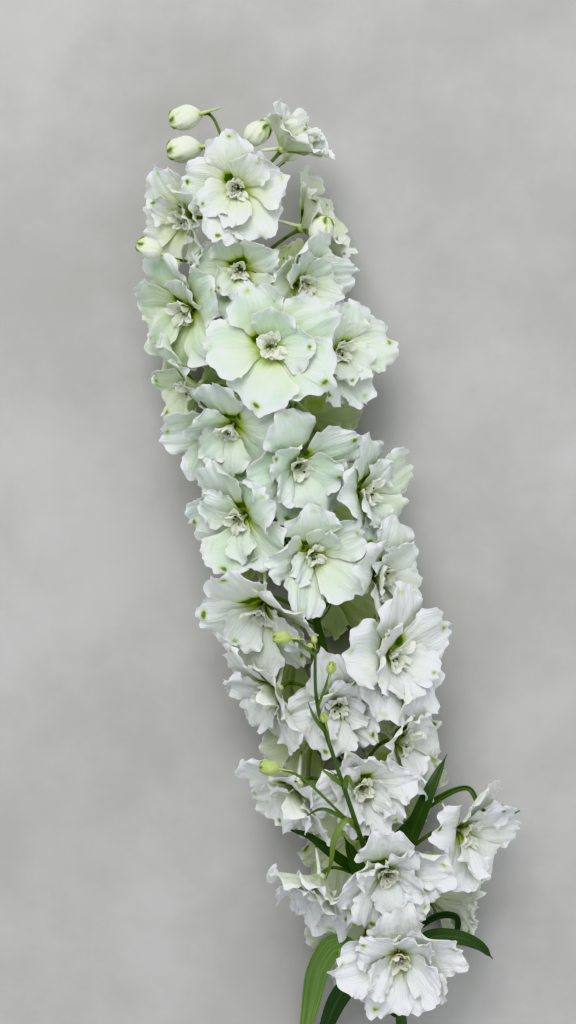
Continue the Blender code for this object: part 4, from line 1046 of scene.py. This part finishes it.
def thinLeaf(line, halfWidth, young):
    # a narrow sheet along its line, half width times sin(pi (0.08 + 0.92 a)^0.7)^0.8, its edges raised by 0.4 v^2
    a, v = shareGrid(26, 5)
    across = unit(np.cross(unit(np.gradient(line, axis=0)), [0, 0, 1]))
    width = halfWidth * np.sin(math.pi * (0.08 + 0.92 * a) ** 0.7) ** 0.8
    points = atShares(line, a) + atShares(across, a) * (v * width)[..., None]
    points[..., 2] += 0.4 * width * v ** 2
    marks = marked(a, (v, a * 4, 0.0), (young * (1 - 0.3 * a), 0.0, 0.0))
    return sheetPart(press(points), stem["bractThickness"], marks)


def smallBract(root, along, outward, length, halfWidth):
    # a narrow pointed sheet: it leaves the stalk outward and bends along it, widest a third of the way up
    a, v = shareGrid(10, 5)
    across = unit(np.cross(along, outward))
    width = halfWidth * (0.12 + np.sin(math.pi * a ** 0.7) ** 0.9)
    lean = length * (0.35 * a + 0.1 * np.sin(math.pi * a))
    points = (root + along * (length * 0.9 * a)[..., None] + outward * lean[..., None]
              + across * (v * width)[..., None] + outward * (0.25 * width * v ** 2)[..., None])
    return sheetPart(press(points), stem["bractThickness"], marked(a, (v, a, 0.0), (0.15 * (1 - a), 0.0, 0.0)))


leaves = {
    "places": (
        (134, -75, ((40, -229, 42), (25, -218, 42), (15.5, -232, 31), (11, -256, 15), (6, -288, 2.2)), 12),
        (122, -60, ((43, -242, 37), (34, -237, 34), (26, -249, 23), (20, -266, 11), (13, -290, 2.2)), 10),
        (149, 70, ((70, -214, 46), (85, -214, 43), (97, -220, 33), (105, -229, 22)), 8),
        (158, 105, ((74, -206, 33), (86, -207, 29), (85, -221, 20), (79, -234, 9)), 6.5),
        (188, 45, ((60, -166, 45), (71, -140, 47), (80, -122, 42)), 8.5),
        (204, 105, ((68, -152, 30), (90, -140, 31), (98, -150, 34), (107, -156, 33), (118, -152, 31)), 5),
        (190, -40, ((27, -174, 51), (11, -162, 52), (-1, -159, 46)), 5.5),
        (166, -10, ((44, -198, 48), (36, -180, 51), (28, -162, 52)), 10),
    ),
    "tones": (0.85, 0.05, 0.1, 0.0, 0.1, 0.35, 0.05, 0.1),    # how light a green each leaf is
    "slender": (1, 1, 0.95, 0.5, 0.95, 0.7, 0.95, 1),       # share of its packed width
    "twists": (0.5, -0.5, 0.7, 0.9, 0.5, -1.2, 0.6, -0.4),    # turn of its tip about its line, radians
    "rows": 90, "columns": 17, "thickness": 0.5,
    "foot": 0.6,              # mm of its foot inside the stem
    "fold": 0.22, "ribs": 0.16, "groove": 0.35, "flutter": 0.35,     # slope of each half, then heights in mm
}


def leafPart(number):
    # A line through the route, widened across by 0.16 + 0.84 sin(pi a^0.8)^0.85, folded by a share of the distance
    # from the midrib, with ribs that follow cos(4 pi v), a groove over the midrib and a turn that grows as a^2.
    along, turn, route, width = leaves["places"][number]
    centre, _, up, side = stemAt(along)
    radius = stemRadius(along / (stem["route"][-1][1] - stem["route"][0][1]))
    root = centre + (radius - leaves["foot"]) * aslant(up, side, math.radians(turn))
    line = smoothRoute([root, *route], 120)
    tangent = unit(np.gradient(line, axis=0))
    across = unit(np.cross(tangent, [0, 0, 1]))
    normal = np.cross(across, tangent)
    a, v = shareGrid(leaves["rows"], leaves["columns"])
    profile = 0.16 + 0.84 * np.sin(math.pi * a ** 0.8) ** 0.85
    profile = profile * (1 - 0.9 * ease(a, 0.88, 1.0)) * leaves["slender"][number]
    offset = v * width / 2 * profile
    ribs = leaves["ribs"] * np.cos(4 * math.pi * v) * profile - leaves["groove"] * np.exp(-(v / 0.12) ** 2)
    flutter = leaves["flutter"] * v ** 2 * np.sin(14 * a + number) * profile
    lift = leaves["fold"] * np.abs(offset) + ribs + flutter
    twist = leaves["twists"][number] * a[..., None] ** 2
    across, normal = atShares(across, a), atShares(normal, a)
    across, normal = across * np.cos(twist) + normal * np.sin(twist), normal * np.cos(twist) - across * np.sin(twist)
    points = atShares(line, a) + offset[..., None] * across + lift[..., None] * normal
    tone = leaves["tones"][number]
    rib = np.exp(-(v / 0.09) ** 2)
    marks = marked(a, (v, a * 6, np.abs(v)), (tone, 0.0, rib * (0.25 + 0.5 * tone)))
    return sheetPart(press(points), leaves["thickness"], marks)


petalWhite, budPale, stemGreen, leafGreen = petalFinish(), budFinish(), greenFinish("stem"), greenFinish("leaf")
rows = placedFlorets()
for index, row in enumerate(rows):
    makeFloret(index, row, petalWhite)
print("florets made")

makePiece("stem", stemParts(rows), stemGreen, ("stem",))
shootBudParts = [part for seat, direction, length, *_ in stem["shootBuds"] + stem["shootTips"]
                 for part in budParts(seat, direction, length, 1.0)]
makePiece("shootBuds", shootBudParts, budPale)
for number, (seat, direction, length, _) in enumerate(buds["places"], 1):
    makePiece(f"bud{number:02d}", budParts(seat, direction, length, 0.05), budPale, (f"bud_{number:02d}",))
for number in range(len(leaves["places"])):
    makePiece(f"leaf{number + 1:02d}", [leafPart(number)], leafGreen, (f"leaf_{number + 1:02d}",))
print("stem, buds and leaves made")


# Studio: pale floor, soft light from above, camera straight over the spike
studio = {
    "floorSize": 6.0,
    "floorColours": ((0.372, 0.369, 0.356), (0.448, 0.445, 0.440)),
    "viewCentre": (0.0, 0.0),            # middle of the picture in the drawing, mm
    "viewHeight": 512.0,                 # height of the picture at the spike's middle, mm
    "middle": 0.05, "cameraHeight": 1.15,      # heights over the floor, m
    "world": (0.93, 0.96, 1.0, 1.0),
    "worldStrength": 0.63,
    "lights": (
        ("key", (-0.45, 1.75, 2.5), 1.9, 78.0, (1.0, 0.985, 0.96)),
        ("fill", (1.6, -0.9, 2.0), 3.0, 15.0, (0.93, 0.97, 1.0)),
    ),
}


def makeFloor():
    # a wide pale square under the spike
    half = studio["floorSize"] / 2
    mesh = bpy.data.meshes.new("floor")
    mesh.from_pydata([(-half, -half, 0), (half, -half, 0), (half, half, 0), (-half, half, 0)], [], [(0, 1, 2, 3)])
    finish, wire = newFinish("paleFloor", {"Specular IOR Level": 0.2})
    where = wire.node("TexCoord", {}, {}, out="Object")
    cloud = wire.noise(where, 7.0, 6.0, 0.62)
    feed(finish, wire, cloud.between(0.35, 0.65).mixed(*studio["floorColours"]), 0.8 + 0.1 * cloud)
    mesh.materials.append(finish)
    floor = linked("floor", mesh)


def makeLights(centre):
    # an even sky and two soft lamps that face the spike
    world = bpy.data.worlds.new("studio")
    world.use_nodes = True
    background = world.node_tree.nodes["Background"].inputs
    background["Color"].default_value = studio["world"]
    background["Strength"].default_value = studio["worldStrength"]
    bpy.context.scene.world = world
    for name, place, size, power, colour in studio["lights"]:
        light = bpy.data.lights.new(name, "AREA")
        light.size, light.energy, light.color = size, power, colour
        lamp = linked(name, light)
        lamp.location = place
        lamp.rotation_euler = (centre - lamp.location).to_track_quat("-Z", "Y").to_euler()


def makeCamera(centre):
    # straight over the spike; lens = sensor height * distance / height of the picture
    camera = bpy.data.cameras.new("camera")
    camera.sensor_fit = "VERTICAL"
    camera.sensor_height = 24
    distance = studio["cameraHeight"] - studio["middle"]
    camera.lens = camera.sensor_height * distance / (studio["viewHeight"] / 1000)
    holder = linked("camera", camera)
    holder.location = (centre[0], centre[1], studio["cameraHeight"])
    bpy.context.scene.camera = holder
    bpy.context.scene.view_settings.view_transform = "Khronos PBR Neutral"


centre = Vector([*((studio["viewCentre"][axis] + spike["origin"][axis]) / 1000 for axis in range(2)), studio["middle"]])
makeFloor()
makeLights(centre)
makeCamera(centre)
print("studio made")
